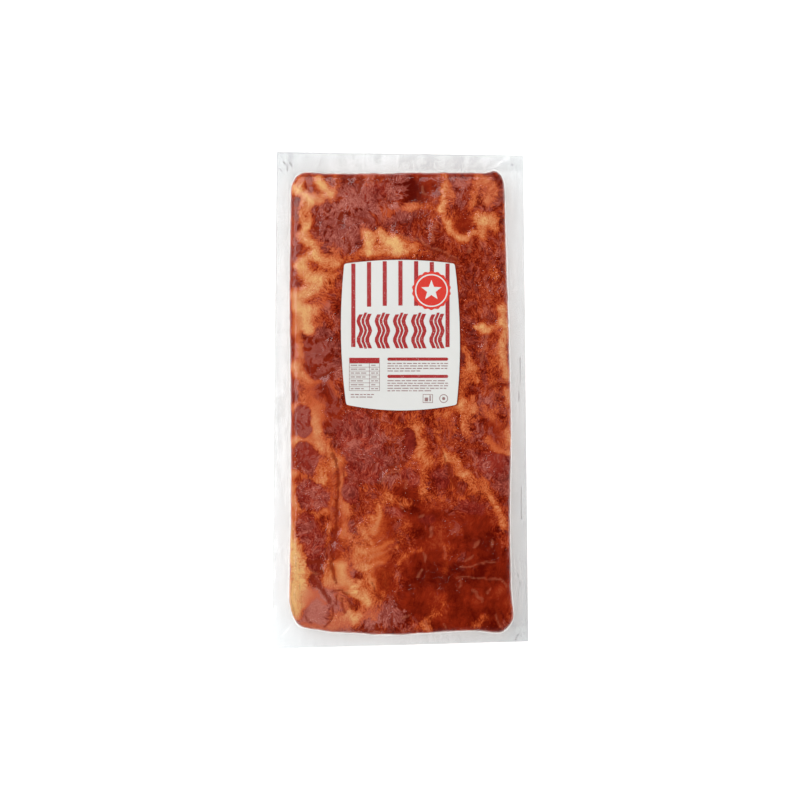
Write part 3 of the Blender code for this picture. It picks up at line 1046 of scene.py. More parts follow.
# %% Give both webs their thickness
pick(base_web, "polygons", lambda points: True)
edit(base_web, bpy.ops.mesh.flip_normals)
for web in (upper_web, base_web):
    modify(web, "SOLIDIFY", thickness=FILM_THICKNESS, offset=1, use_rim=True)
    activate(web)
    bpy.ops.object.shade_smooth()
    print(web.name, "triangles:", triangle_count(web))

# %% [markdown]
# ## The label
# A sheet of coated paper with bowed sides, stuck to the film while it was still flat, so it
# spans the small lumps and follows only the slow swell. It is a grid with its four corner points
# bevelled round, dropped on the film from above, smoothed until it is as stiff as paper, then
# lifted where a lump would still poke through.

# %% Dropping flat pieces
def drop_on(piece, below, gap):
    """Drops a flat piece straight down on what lies below it."""
    modify(
        piece,
        "SHRINKWRAP",
        target=below,
        wrap_method="PROJECT",
        wrap_mode="ABOVE_SURFACE",
        use_project_z=True,
        use_positive_direction=False,
        use_negative_direction=True,
        offset=gap,
    )


# %% Cut the label flat, high above the pack
ABOVE_ALL = 60 * MM
PAPER_CORNER = 1.4 * MM
bpy.ops.mesh.primitive_grid_add(
    x_subdivisions=44, y_subdivisions=56, size=2, location=(0, 0, ABOVE_ALL)
)
paper = new_piece("paper_label")
flat = points_of(paper)
flat[:, 0], flat[:, 1] = label_plan(flat[:, 0], flat[:, 1])
corners = [np.argmax(side * flat[:, 0] + end * flat[:, 1]) for side in (-1, 1) for end in (-1, 1)]
put_points(paper, flat)
pick(paper, "polygons", lambda points: False)
bpy.context.tool_settings.mesh_select_mode = (True, False, False)
for corner in corners:
    paper.data.vertices[corner].select = True
edit(paper, bpy.ops.mesh.bevel, offset=PAPER_CORNER, segments=4, affect="VERTICES")
print("label's plan, mm:", ((flat.max(axis=0) - flat.min(axis=0)) / MM).round(1)[:2])

# %% Lay it on the film
PAPER_GAP = 0.05 * MM
PAPER_THICKNESS = 0.12 * MM
drop_on(paper, upper_web, PAPER_GAP)
modify(paper, "SMOOTH", factor=0.5, iterations=25, use_x=False, use_y=False)
modify(
    paper,
    "SHRINKWRAP",
    target=upper_web,
    wrap_method="NEAREST_SURFACEPOINT",
    wrap_mode="OUTSIDE_SURFACE",
    offset=PAPER_GAP,
)
modify(paper, "SOLIDIFY", thickness=PAPER_THICKNESS, offset=1)
activate(paper)
bpy.ops.object.shade_smooth_by_angle(angle=math.radians(40))
label_low, label_high = np.min(points_of(paper), axis=0), np.max(points_of(paper), axis=0)
print("label from", (label_low / MM).round(2), "to", (label_high / MM).round(2), "mm")

# %% [markdown]
# ## The print
# The print is a generic design: red stripes hang from the head end, a scalloped seal with a star
# sits over them at the right, a row of five wavy rashers stands across the middle, and below it
# come a small table, two title bars, rows of tiny dashes in place of small print and two plain
# marks. Each is cut as a flat shape with faces no longer than 2.5 mm, so that it can bend with
# the paper, then dropped onto the label as a film of ink. All its sizes are in millimetres,
# from the label's middle.

# %% Plates of ink
INK_CELL = 2.5 * MM
INK_HEIGHT = 0.06 * MM


def plate(x, y, width, height):
    """A flat rectangle of ink, given by its middle and its size."""
    bpy.ops.mesh.primitive_grid_add(
        x_subdivisions=max(1, math.ceil(width * MM / INK_CELL)),
        y_subdivisions=max(1, math.ceil(height * MM / INK_CELL)),
        size=1,
        location=(LABEL_X + x * MM, LABEL_Y + y * MM, ABOVE_ALL),
    )
    bpy.ops.transform.resize(value=(width * MM, height * MM, 1))
    return new_piece("plate")


def print_ink(name, shapes, layer=1):
    """Joins flat shapes to one piece of ink and lays it on the label, in this layer of ink."""
    deselect_all()
    for shape in shapes:
        shape.select_set(True)
    bpy.context.view_layer.objects.active = shapes[0]
    if len(shapes) > 1:
        bpy.ops.object.join()
    ink = new_piece(name)
    drop_on(ink, paper, INK_HEIGHT * layer)
    print(name, "triangles:", triangle_count(ink))
    return ink


# %% Stripes that hang from the head end
STRIPE_PITCH, STRIPE_WIDTH = 10.9, 2.9
OUTER_LENGTH, INNER_LENGTH = 58, 31
HEAD_EDGE, HEAD_EDGE_BOW = 51.6, 2.4
stripes = []
for index in range(-3, 4):
    length = OUTER_LENGTH if abs(index) == 3 else INNER_LENGTH
    y_head = HEAD_EDGE - HEAD_EDGE_BOW * (index / 3.4) ** 2
    stripes.append(plate(STRIPE_PITCH * index, y_head - length / 2, STRIPE_WIDTH, length))
label_stripes = print_ink("label_stripes", stripes)

# %% [markdown]
# The seal is a round disc, inset ring by ring so that it can bend, whose points are then drawn
# in and out eighteen times for the scallops. The star on it is the same disc drawn to five
# points, and a thin ring of paper white runs just inside the scallops.

# %% Discs, drawn to another outline
DISC_SIDES = 120


def disc(x, y, radius, rings=0, share=None):
    """A flat disc as a net of rings. share says how far out its rim goes at each angle."""
    middle = np.array([LABEL_X + x * MM, LABEL_Y + y * MM, ABOVE_ALL])
    bpy.ops.mesh.primitive_circle_add(
        vertices=DISC_SIDES, radius=radius * MM, fill_type="NGON", location=middle
    )
    shape = new_piece("disc")
    for _ in range(rings):
        pick(shape, "polygons", lambda points: len(points) > 4)
        edit(shape, bpy.ops.mesh.inset, thickness=radius * MM / (rings + 1))
    if share:
        spokes = points_of(shape) - middle
        angles = np.arctan2(spokes[:, 0], spokes[:, 1])
        put_points(shape, spokes * share(angles)[:, None] + middle)
    return shape


def hollow(x, y, radius, width):
    """A flat ring: a disc whose inner face is taken out."""
    shape = disc(x, y, radius)
    pick(shape, "polygons", lambda points: True)
    edit(shape, bpy.ops.mesh.inset, thickness=width * MM)
    pick(shape, "polygons", lambda points: len(points) > 4)
    edit(shape, bpy.ops.mesh.delete, type="FACE")
    return shape


# %% Seal and star
SEAL_X, SEAL_Y, SEAL_RADIUS = 21.5, 31.0, 13.6
STAR_RADIUS, STAR_NOTCH = 7.4, 0.42
RING_RADIUS, RING_WIDTH = 11.4, 0.9


def scallops(angles):
    return 1 - 0.03 * (1 - np.cos(18 * angles))


def star_points(angles):
    """A star's edge runs straight from a tip to the notch, a tenth of a turn on."""
    tenth = math.tau / 10
    from_tip = np.abs((angles + tenth) % (2 * tenth) - tenth)
    return STAR_NOTCH * math.sin(tenth) / (np.sin(from_tip) + STAR_NOTCH * np.sin(tenth - from_tip))


label_seal = print_ink("label_seal", [disc(SEAL_X, SEAL_Y, SEAL_RADIUS, 5, scallops)], layer=2)
star = disc(SEAL_X, SEAL_Y, STAR_RADIUS, 3, star_points)
ring = hollow(SEAL_X, SEAL_Y, RING_RADIUS, RING_WIDTH)
label_seal_star = print_ink("label_seal_star", [star, ring], layer=3)

# %% [markdown]
# A rasher is a strip of belly, so each is drawn as wavy bands side by side, wide ones for the
# lean, with the white of the paper between them for the fat.

# %% A row of rashers
WAVE_REACH, WAVE_LENGTH = 1.1, 13
RASHER_PITCH, RASHER_LENGTH, RASHER_Y = 12.6, 25, 3.2
RASHER_BANDS = [(-2.9, 2.6, 1.5), (0.1, 1.9, 0), (3.1, 2.7, 1.0)]


def wavy_band(x, y, width, height):
    """A narrow plate that waves from side to side down its length."""
    band = plate(x, y, width, height)
    points = points_of(band)
    points[:, 0] += WAVE_REACH * MM * np.sin((points[:, 1] - LABEL_Y) / MM * math.tau / WAVE_LENGTH)
    put_points(band, points)
    return band


bands = []
for index in range(-2, 3):
    for offset, width, shorter in RASHER_BANDS:
        x, y = RASHER_PITCH * index + offset, RASHER_Y - shorter / 3
        bands.append(wavy_band(x, y, width, RASHER_LENGTH - shorter))
label_rashers = print_ink("label_rashers", bands)

# %% Title bars with round ends, and the head of the table
BAR_LEFT, BAR_RIGHT, BAR_HEIGHT = -8.0, 32.0, 2.2
bars = []
for y in (-16.6, -28.6):
    bars.append(plate((BAR_LEFT + BAR_RIGHT) / 2, y, BAR_RIGHT - BAR_LEFT, BAR_HEIGHT))
    bars += [disc(end, y, BAR_HEIGHT / 2) for end in (BAR_LEFT, BAR_RIGHT)]
bars.append(plate(-25.0, -17.6, 21.0, 3.8))
label_bars = print_ink("label_bars", bars)

# %% Lines of the table
TABLE_LEFT, TABLE_RIGHT, TABLE_SPLIT = -35.5, -14.5, -21.5
TABLE_TOP, TABLE_FOOT, TABLE_ROWS = -19.5, -38.5, 7
LINE_WIDTH = 0.3
lines = []
for row in range(TABLE_ROWS + 1):
    y = TABLE_TOP + (TABLE_FOOT - TABLE_TOP) * row / TABLE_ROWS
    lines.append(plate((TABLE_LEFT + TABLE_RIGHT) / 2, y, TABLE_RIGHT - TABLE_LEFT, LINE_WIDTH))
for x in (TABLE_LEFT, TABLE_SPLIT, TABLE_RIGHT):
    lines.append(plate(x, (TABLE_TOP + TABLE_FOOT) / 2, LINE_WIDTH, TABLE_TOP - TABLE_FOOT))
label_table = print_ink("label_table", lines)

# %% [markdown]
# Small print on so small a label is too fine to read, so it is rows of short dashes, a word
# each. Their lengths are random from a fixed seed, and each row ends raggedly.

# %% Rows of dashes for small print
DASH_HEIGHT, WORD_GAP, ROW_PITCH = 0.62, 0.75, 1.75
SHORTEST_WORD, LONGEST_WORD = 1.6, 5.0
LEAST_ROOM = 1.5
words = random.Random(7)


def dashes(left, right, y):
    """One row of words from left until right, as thin plates."""
    row = []
    x = left
    while x < right - LEAST_ROOM:
        length = min(words.uniform(SHORTEST_WORD, LONGEST_WORD), right - x)
        row.append(plate(x + length / 2, y, length, DASH_HEIGHT))
        x += length + WORD_GAP
    return row


small_print = []
for first, rows in ((-19.6, 4), (-31.6, 5)):
    for row in range(rows):
        right = 33.0 if row < rows - 1 else words.uniform(12, 26)
        small_print += dashes(-9.0, right, first - ROW_PITCH * row)
for row in range(TABLE_ROWS):
    y = TABLE_TOP + (TABLE_FOOT - TABLE_TOP) * (row + 0.5) / TABLE_ROWS
    small_print += dashes(TABLE_LEFT + 1, TABLE_SPLIT - words.uniform(1, 5), y)
    small_print += dashes(TABLE_SPLIT + 1.2, TABLE_RIGHT - 1.0, y)
for row in range(2):
    small_print += dashes(-34.5, -16.5 - 3 * row, -41.2 - ROW_PITCH * row)
label_small_print = print_ink("label_small_print", small_print)

# %% Two plain marks: a ring with a dot, and a frame with two blocks
FRAME_SIDES = [(19, -41.2, 7, 0.4), (19, -46.8, 7, 0.4), (15.7, -44, 0.4, 6), (22.3, -44, 0.4, 6)]
BLOCKS = [(18.0, -44.6, 2.4, 2.6), (20.6, -43.8, 0.9, 4.0)]
marks = [hollow(30.0, -44.0, 3.0, 0.5), disc(30.0, -44.0, 1.1, 1)]
marks += [plate(*sizes) for sizes in FRAME_SIDES + BLOCKS]
label_marks = print_ink("label_marks", marks)

# %% [markdown]
# ## Materials: helpers
# Colours are given as they look on a screen, from 0 to 255, and turned into the light they
# stand for. Nodes are added by one short helper that sets or links each socket by its name, and
# the sums that come up again and again each get a helper of their own.

# %% Helpers for nodes
def colour(red, green, blue):
    """The light that a screen's red, green and blue levels stand for, on its sRGB curve."""
    light = [
        level / 255 / 12.92 if level < 10 else ((level / 255 + 0.055) / 1.055) ** 2.4
        for level in (red, green, blue)
    ]
    return (*light, 1)


def new_material(name):
    material = bpy.data.materials.new(name)
    material.use_nodes = True
    material.node_tree.nodes.clear()
    return material


def add(tree, kind, sockets=None, **settings):
    """Adds a node, sets it up, and sets or links its inputs, each by name or number."""
    node = tree.nodes.new(kind)
    for setting, value in settings.items():
        setattr(node, setting, value)
    for socket, value in (sockets or {}).items():
        if isinstance(value, bpy.types.NodeSocket):
            tree.links.new(value, node.inputs[socket])
        else:
            node.inputs[socket].default_value = value
    return node


def maths(tree, operation, first, second=0.0):
    return add(tree, "ShaderNodeMath", {0: first, 1: second}, operation=operation).outputs[0]


def scaled(tree, value, factor, offset=0.0):
    """value times factor, plus offset."""
    sockets = {0: value, 1: factor, 2: offset}
    return add(tree, "ShaderNodeMath", sockets, operation="MULTIPLY_ADD").outputs[0]


def mix(tree, share, first, second):
    """Mixes two colours: share 0 gives the first and 1 the second."""
    sockets = {0: share, 6: first, 7: second}
    return add(tree, "ShaderNodeMix", sockets, data_type="RGBA").outputs[2]


def step(tree, value, low, high, start=0.0, end=1.0):
    """A smooth step from start to end while value goes from low to high."""
    sockets = {"Value": value, "From Min": low, "From Max": high, "To Min": start, "To Max": end}
    return add(tree, "ShaderNodeMapRange", sockets, interpolation_type="SMOOTHSTEP").outputs[0]


def ramp(tree, value, *stops):
    """A colour ramp through (position, colour) stops."""
    node = add(tree, "ShaderNodeValToRGB", {0: value})
    elements = node.color_ramp.elements
    while len(elements) < len(stops):
        elements.new(1)
    for element, (position, stop_colour) in zip(elements, stops):
        element.position = position
        element.color = stop_colour
    return node.outputs[0]


def vector_maths(tree, operation, sockets):
    return add(tree, "ShaderNodeVectorMath", sockets, operation=operation).outputs[0]


def grain(tree, place, scale, detail=2.0, roughness=0.5, stretch=(1, 1, 1)):
    """Noise from 0 to 1, with scale bumps per mm. A stretch below 1 draws them out that way."""
    place = vector_maths(tree, "MULTIPLY", {0: place, 1: stretch})
    sockets = {"Vector": place, "Scale": scale, "Detail": detail, "Roughness": roughness}
    return add(tree, "ShaderNodeTexNoise", sockets).outputs[0]


def millimetres(tree):
    """The place on the pack, in millimetres."""
    place = add(tree, "ShaderNodeTexCoord").outputs["Object"]
    return vector_maths(tree, "SCALE", {0: place, "Scale": 1 / MM})


def weigh(tree, middle, *terms):
    """A middle value plus the swing of each noise about its own middle, times its weight."""
    total = middle
    for value, weight in terms:
        swing = maths(tree, "SUBTRACT", value, 0.5)
        total = scaled(tree, swing, weight, total)
    return total


def value_of(tree, name):
    return add(tree, "ShaderNodeAttribute", attribute_name=name).outputs["Fac"]


def bump(tree, height, distance):
    """Normals that follow a height from 0 to 1 over this distance in mm."""
    return add(tree, "ShaderNodeBump", {"Height": height, "Distance": distance * MM}).outputs[0]


def show(tree, shader):
    add(tree, "ShaderNodeOutputMaterial", {"Surface": shader})


# %% [markdown]
# ## Material: the meat
# The lean is red brown, streaked along the belly by its fibres, and blotched where smoke and
# brine went in unevenly. Its tone is a number: about 0 is darkest and 1 is lightest. Several
# noises push it up and down, less so where the meat is wet or even, and a ramp then turns it
# into a colour. The place is swayed first, so that the fibres wind like real ones.

# %% Fibres and blotches
meat = new_material("smoked_meat")
tree = meat.node_tree
place = millimetres(tree)
sway_noise = add(tree, "ShaderNodeTexNoise", {"Vector": place, "Scale": 0.05, "Detail": 2.0})
sway = vector_maths(tree, "SUBTRACT", {0: sway_noise.outputs["Color"], 1: (0.5, 0.5, 0.5)})
sway = vector_maths(tree, "SCALE", {0: sway, "Scale": 22.0})
swayed = vector_maths(tree, "ADD", {0: place, 1: sway})
fibres = grain(tree, swayed, 0.30, detail=4.0, roughness=0.55, stretch=(1, 0.5, 1))
fine = grain(tree, swayed, 1.25, stretch=(1, 0.6, 1))
blotches = grain(tree, place, 0.055)

# %% Tone of the lean
wet = value_of(tree, "wet")
painted_haze = value_of(tree, "painted_haze")
# The tone starts from the lumps' height: painted shade, darker in their hollows and lighter on their
# tops.
lump_shade = scaled(tree, value_of(tree, "lump"), 0.35, 0.5)
fibre_weight = scaled(tree, wet, -0.6, 1.2)
fine_weight = scaled(tree, wet, -1.6, 2.0)
tone = weigh(tree, lump_shade, (fibres, fibre_weight), (fine, fine_weight), (blotches, 1.15))
calm = maths(tree, "MULTIPLY", value_of(tree, "even"), scaled(tree, wet, -0.7, 0.7))
to_middle = maths(tree, "SUBTRACT", 0.52, tone)
tone = maths(tree, "ADD", tone, maths(tree, "MULTIPLY", calm, to_middle))
tone = scaled(tree, wet, -0.18, tone)

# %% [markdown]
# Where the film stands off the lean, the film's haze and its reflection of the light are painted into
# the lean's colour, so it looks mauve and cloudy; where the film clings the lean is dark and clear. The
# beds between the ribs have their own redder colour and a longer grain. Which of the looks shows is
# decided by patches of noise, whose threshold shifts with the zones of painted haze and the wet zones.
# Past 1 the painted haze grows paler still.

# %% Clear lean, lean under painted haze, and the lean of the rib beds
clear_tone = scaled(tree, painted_haze, -0.2, tone)
clear_lean = ramp(
    tree, clear_tone, (0.1, colour(98, 12, 1)), (0.5, colour(154, 42, 16)), (0.9, colour(202, 88, 50))
)
haze_past_one = maths(tree, "MAXIMUM", scaled(tree, painted_haze, 0.4, -0.4), 0.0)
hazed_lean = ramp(
    tree,
    maths(tree, "ADD", tone, haze_past_one),
    (0.1, colour(134, 52, 42)),
    (0.5, colour(172, 84, 72)),
    (0.9, colour(204, 122, 106)),
)
bed_grain = grain(tree, swayed, 0.5, detail=3.0, stretch=(1, 0.15, 1))
bed_lean = ramp(
    tree,
    weigh(tree, tone, (bed_grain, 0.9)),
    (0.1, colour(118, 26, 18)),
    (0.5, colour(158, 50, 38)),
    (0.9, colour(194, 88, 70)),
)

# %% Where the film touches and where it stands off
air_pockets = grain(tree, swayed, 0.15, detail=2.0, roughness=0.6)
contact_streaks = grain(tree, swayed, 0.42, detail=2.0, roughness=0.6, stretch=(1, 0.42, 1))
touching = weigh(tree, 0.5, (air_pockets, 1.0), (contact_streaks, 0.75))
touching = scaled(tree, painted_haze, 0.14, touching)
touching = maths(tree, "ADD", touching, haze_past_one)
touching = scaled(tree, wet, -0.25, touching)
stands_off = step(tree, touching, 0.49, 0.60)
# Painted haze: where the film stands off, the mauve lean stands in for the film's reflection.
painted_haze_share = maths(tree, "MULTIPLY", stands_off, scaled(tree, painted_haze, 0.6, 0.4))
lean = mix(tree, scaled(tree, value_of(tree, "island"), 0.75), clear_lean, bed_lean)
lean = mix(tree, painted_haze_share, lean, hazed_lean)

# %% [markdown]
# Over the lean come, in turn, fat, the painted highlights along the sinew and the painted shade in the
# seams, each cut from what was painted by fine noises, so that its edge is ragged. Fat goes from orange
# at its thin edge, stained by smoke, to cream at its middle.

# %% Fat, painted highlights on the sinew, and painted shade in the seams
mottled = grain(tree, swayed, 0.14, detail=3.0, roughness=0.6)
frayed = grain(tree, swayed, 0.6, detail=3.0, roughness=0.6, stretch=(1, 0.6, 1))
uneven = scaled(tree, value_of(tree, "even"), -0.7, 1.0)
fatness = value_of(tree, "fat")
for noise_value, weight in ((mottled, 0.65), (frayed, 0.55), (fine, 0.8)):
    fatness = weigh(tree, fatness, (noise_value, maths(tree, "MULTIPLY", uneven, weight)))
fat = ramp(
    tree,
    fatness,
    (0.20, colour(190, 62, 22)),
    (0.45, colour(210, 94, 46)),
    (0.72, colour(230, 144, 92)),
    (1.00, colour(246, 192, 126)),
)
# Painted haze over the fat: the film's reflection turns it pinker.
fat = mix(tree, scaled(tree, painted_haze, 0.3), fat, colour(214, 116, 92))
surface = mix(tree, step(tree, fatness, 0.10, 0.50), lean, fat)
# Light lines along the ridges are painted highlights; dark lines along the seams and the label's edge
# are painted shade and shadow.
for name, strength, line_colour in (
    ("highlight_ridge_depth", 0.4, colour(208, 116, 84)),
    ("seam_shade_depth", 0.85, colour(138, 38, 13)),
):
    line_depth = weigh(tree, value_of(tree, name), (frayed, 1.6))
    surface = mix(tree, step(tree, line_depth, -0.8, 0.9, end=strength), surface, line_colour)

# %% [markdown]
# The walls show the layers of a belly, and the underside its smoked rind. Both go by height
# above the table. Slow noise lifts and lowers the layers, so that they run unevenly.

# %% Layers of the walls, and the rind beneath
height = add(tree, "ShaderNodeSeparateXYZ", {0: place}).outputs[2]
layer_swell = grain(tree, place, 0.03, stretch=(1, 1, 0.2))
layer_height = weigh(tree, height, (layer_swell, 9.0), (mottled, 2.0))
layers = ramp(
    tree,
    maths(tree, "MULTIPLY", layer_height, MM / TOP_Z),
    (0.05, colour(150, 92, 42)),
    (0.11, colour(220, 166, 118)),
    (0.34, colour(214, 146, 104)),
    (0.40, colour(146, 58, 42)),
    (0.50, colour(150, 62, 46)),
    (0.56, colour(208, 134, 94)),
    (0.66, colour(204, 122, 82)),
    (0.72, colour(150, 56, 38)),
)
surface = mix(tree, step(tree, layer_height, 23.0, 27.0), layers, surface)
rind_tone = weigh(tree, 0.5, (grain(tree, place, 0.5, detail=4.0), 1.2), (blotches, 1.0))
rind = ramp(
    tree, rind_tone, (0.2, colour(112, 58, 22)), (0.5, colour(158, 96, 44)), (0.8, colour(196, 138, 76))
)
surface = mix(tree, step(tree, height, 1.4, 3.4), rind, surface)

# %% Put the meat together
relief_height = weigh(tree, 0.5, (fibres, 0.7), (fine, 0.3))
meat_sockets = {
    "Base Color": surface,
    "Roughness": 0.6,
    "Specular IOR Level": 0.0,
    "Normal": bump(tree, relief_height, 0.25),
}
show(tree, add(tree, "ShaderNodeBsdfPrincipled", meat_sockets).outputs[0])
print("nodes in the meat:", len(tree.nodes))

# %% [markdown]
# ## Material: the film
# Clear film hardly colours what is behind it. What shows is its gloss: by Fresnel it mirrors
# little straight on and much at a grazing angle, so the round edges and the creases light up.
# Each sheet mirrors only where the view enters it, and not where it leaves, because that side
# lies against the meat. The meat has no gloss of its own, because all the wet shine that one
# sees is the film's.

# %% Puckers and fine wrinkles
film = new_material("clear_film")
tree = film.node_tree
place = millimetres(tree)
puckers = grain(tree, place, 0.22, detail=2.0, stretch=(1, 0.6, 1))
wrinkle = maths(tree, "ABSOLUTE", maths(tree, "SUBTRACT", grain(tree, place, 0.10, detail=3.0), 0.5))
wrinkle = step(tree, wrinkle, 0.0, 0.02, start=1.0, end=0.0)
wrinkle = maths(tree, "MULTIPLY", wrinkle, step(tree, grain(tree, place, 0.045), 0.5, 0.6))
film_normal = bump(tree, weigh(tree, puckers, (wrinkle, 0.8)), 0.15)

# %% [markdown]
# On the weld the two webs are pressed to one. It is greyer where the points carry the weld's grey haze
# and its painted shade, with streaks along the pack, and painted shade darkens it in its folds. The
# floor is seen there through four faces, two of each web, so each face's tint only needs to be faint.

# %% Tint of the film
weld = value_of(tree, "weld")
pressed = grain(tree, place, 0.35, detail=3.0, stretch=(1, 0.1, 1))
# Painted shade: the folds darken the film's tint, and have no shape of their own.
fold_shade = step(tree, value_of(tree, "fold_shade_depth"), -0.4, 0.3, end=0.7)
clear_and_lit = weigh(tree, value_of(tree, "clear_and_lit"), (pressed, 0.35))
# Painted shade over the weld's haze: the tint is greyer where the points say the weld is less clear and
# less lit.
haze_and_shade_tint = mix(tree, clear_and_lit, (0.878, 0.885, 0.888, 1), (0.977, 0.985, 0.988, 1))
weld_tint = mix(tree, fold_shade, haze_and_shade_tint, (0.75, 0.75, 0.75, 1))
tint = mix(tree, weld, (0.985, 0.985, 0.985, 1), weld_tint)

# %% Put the film together
clear = add(tree, "ShaderNodeBsdfTransparent", {"Color": tint})
dull = add(tree, "ShaderNodeBsdfDiffuse", {"Color": (0.8, 0.8, 0.8, 1), "Normal": film_normal})
gloss = add(tree, "ShaderNodeBsdfGlossy", {"Roughness": 0.12, "Normal": film_normal})
weld_haze = maths(tree, "MULTIPLY", weld, 0.10)
mirrored = add(tree, "ShaderNodeFresnel", {"IOR": 1.45, "Normal": film_normal}).outputs[0]
inside = add(tree, "ShaderNodeNewGeometry").outputs["Backfacing"]
mirrored = maths(tree, "MULTIPLY", mirrored, maths(tree, "SUBTRACT", 1.0, inside))
body = add(tree, "ShaderNodeMixShader", {0: weld_haze, 1: clear.outputs[0], 2: dull.outputs[0]})
whole = add(tree, "ShaderNodeMixShader", {0: mirrored, 1: body.outputs[0], 2: gloss.outputs[0]})
show(tree, whole.outputs[0])
print("nodes in the film:", len(tree.nodes))

# %% [markdown]
# ## Material: paper and ink
# The label is coated paper, with a grain so fine that it only breaks the gloss. The inks lie in
# that same grain, and they are worn: small specks let the paper through. Grain and wear are
# groups of nodes, because more than one material uses each of them.

# %% Groups for grain and wear
def new_group(name, inputs, outputs):
    group = bpy.data.node_groups.new(name, "ShaderNodeTree")
    for socket, kind in inputs:
        group.interface.new_socket(socket, in_out="INPUT", socket_type=kind)
    for socket, kind in outputs:
        group.interface.new_socket(socket, in_out="OUTPUT", socket_type=kind)
    return group, group.nodes.new("NodeGroupInput"), group.nodes.new("NodeGroupOutput")


paper_grain, _, grain_out = new_group(
    "paper_grain", [], [("Shade", "NodeSocketFloat"), ("Normal", "NodeSocketVector")]
)
grain_place = millimetres(paper_grain)
fibre_noise = grain(paper_grain, grain_place, 2.2, detail=3.0)
cloudy = grain(paper_grain, grain_place, 0.12)
shade = weigh(paper_grain, 0.5, (fibre_noise, 0.5), (cloudy, 0.5))
paper_grain.links.new(shade, grain_out.inputs["Shade"])
paper_grain.links.new(bump(paper_grain, fibre_noise, 0.02), grain_out.inputs["Normal"])

ink_wear, wear_in, wear_out = new_group(
    "ink_wear",
    [("Ink", "NodeSocketColor"), ("Wear", "NodeSocketFloat")],
    [("Colour", "NodeSocketColor")],
)
wear_place = millimetres(ink_wear)
specks = grain(ink_wear, wear_place, 1.3, detail=3.0, roughness=0.7)
patches = grain(ink_wear, wear_place, 0.2)
worn = step(ink_wear, weigh(ink_wear, specks, (patches, 0.25)), 0.60, 0.72)
worn = maths(ink_wear, "MULTIPLY", worn, wear_in.outputs["Wear"])
shown_ink = mix(ink_wear, worn, wear_in.outputs["Ink"], colour(226, 205, 200))
ink_wear.links.new(shown_ink, wear_out.inputs["Colour"])


def use_group(tree, group, sockets=None):
    return add(tree, "ShaderNodeGroup", sockets, node_tree=group).outputs


print("nodes in grain and wear:", len(paper_grain.nodes), len(ink_wear.nodes))


# %% Paper and inks
def coated(tree, surface, roughness, normal):
    """The finish that paper and ink share: a soft, weak gloss."""
    sockets = {
        "Base Color": surface,
        "Roughness": roughness,
        "Specular IOR Level": 0.3,
        "Normal": normal,
    }
    show(tree, add(tree, "ShaderNodeBsdfPrincipled", sockets).outputs[0])


def paper_finish(name):
    material = new_material(name)
    tree = material.node_tree
    grains = use_group(tree, paper_grain)
    surface = mix(tree, grains["Shade"], colour(231, 231, 227), colour(239, 239, 236))
    coated(tree, surface, 0.45, grains["Normal"])
    return material


def ink_finish(name, ink, wear):
    material = new_material(name)
    tree = material.node_tree
    surface = use_group(tree, ink_wear, {"Ink": ink, "Wear": wear})["Colour"]
    coated(tree, surface, 0.4, use_group(tree, paper_grain)["Normal"])
    return material


paper_material = paper_finish("label_paper")
red_ink = ink_finish("label_red_ink", colour(176, 42, 44), 0.8)
seal_ink = ink_finish("label_seal_ink", colour(228, 58, 46), 0.15)
text_ink = ink_finish("label_text_ink", colour(158, 122, 120), 0.5)
print("finishes:", [material.name for material in (paper_material, red_ink, seal_ink, text_ink)])

# %% [markdown]
# ## Dress the pieces
# Each piece takes its material and rides on the one body of the CAD model. The CAD bodies `bag` and
# `label` are hidden: the slab and both webs lie where the bag was, and the paper where the label was.

# %% Hand the pieces to the frame
dressed = [
    (slab, meat, "smoked_meat"),
    (upper_web, film, "clear_film"),
    (base_web, film, "clear_film"),
    (paper, paper_material, "label_paper"),
    (label_stripes, red_ink, "label_print"),
    (label_seal, seal_ink, "label_print"),
    (label_seal_star, paper_material, "label_paper"),
    (label_rashers, red_ink, "label_print"),
    (label_bars, red_ink, "label_print"),
    (label_table, text_ink, "label_print"),
    (label_small_print, text_ink, "label_print"),
    (label_marks, text_ink, "label_print"),
]
for piece, material, slot in dressed:
    piece.data.materials.clear()
    piece.data.materials.append(material)
    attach(piece, "root")
for piece in (slab, upper_web, base_web):
    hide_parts("bag")
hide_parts("label")
print(len(dressed), "pieces,", sum(triangle_count(piece) for piece, _, _ in dressed), "triangles")

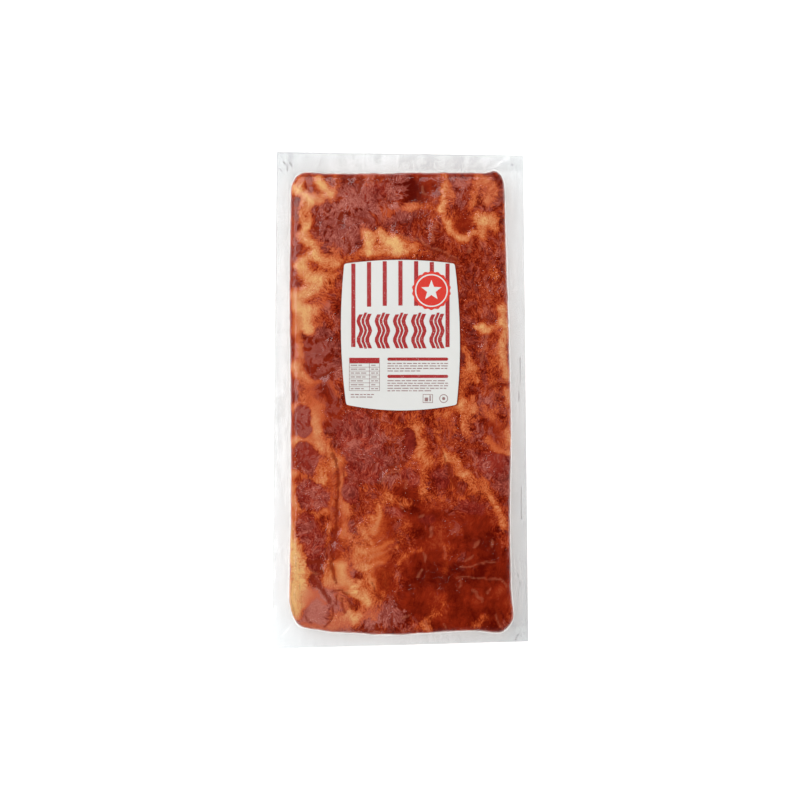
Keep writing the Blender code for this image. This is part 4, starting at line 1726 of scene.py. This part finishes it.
# %% [markdown]
# ## Floor and light
# The pack lies on a nearly white floor inside a tent of light. Straight above, the tent is dark,
# where the camera looks out, so that flat film mirrors nothing bright and the wet meat stays
# deep in colour. Towards the horizon it is white, so that every edge of film that turns away
# catches a line of light. A soft lamp at the upper left gives the shapes a side, and a weaker
# one fills from the lower right. The weaker one makes no glints, so that every glint on the film
# comes from the same side.

# %% Floor
FLOOR_GAP = 0.1 * MM
bpy.ops.mesh.primitive_plane_add(size=6, location=(0, 0, -FLOOR_GAP))
floor = new_piece("floor")
floor_material = new_material("floor")
tree = floor_material.node_tree
mottle = grain(tree, millimetres(tree), 0.004)
floor_colour = mix(tree, mottle, colour(246, 246, 246), colour(250, 250, 250))
floor_sockets = {
    "Base Color": floor_colour,
    "Roughness": 0.9,
    "Emission Color": (1, 1, 1, 1),
    "Emission Strength": 0.75,
}
show(tree, add(tree, "ShaderNodeBsdfPrincipled", floor_sockets).outputs[0])
floor.data.materials.append(floor_material)

# %% Tent of light
tent = bpy.data.worlds.new("tent_of_light")
bpy.context.scene.world = tent
tent.use_nodes = True
tree = tent.node_tree
tree.nodes.clear()
direction = add(tree, "ShaderNodeTexCoord").outputs["Generated"]
upwards = add(tree, "ShaderNodeSeparateXYZ", {0: direction}).outputs[2]
brightness = step(tree, upwards, 0.5, 0.9, start=0.3, end=0.03)
sky = add(tree, "ShaderNodeBackground", {"Color": (1, 1, 1, 1), "Strength": brightness})
add(tree, "ShaderNodeOutputWorld", {"Surface": sky.outputs[0]})


# %% Lamps
def soft_lamp(name, location, size, power):
    """A square lamp that looks at the pack."""
    turn = (-Vector(location)).to_track_quat("-Z", "Y").to_euler()
    bpy.ops.object.light_add(type="AREA", location=location, rotation=turn)
    lamp = bpy.context.object
    lamp.name = name
    lamp.data.size = size
    lamp.data.energy = power
    return lamp


soft_lamp("key_lamp", (-0.8, 0.7, 1.5), 1.6, 27.5)
fill_lamp = soft_lamp("fill_lamp", (1.0, -0.6, 1.2), 1.6, 10.6)
fill_lamp.visible_glossy = False
bpy.context.scene.view_settings.view_transform = "Standard"
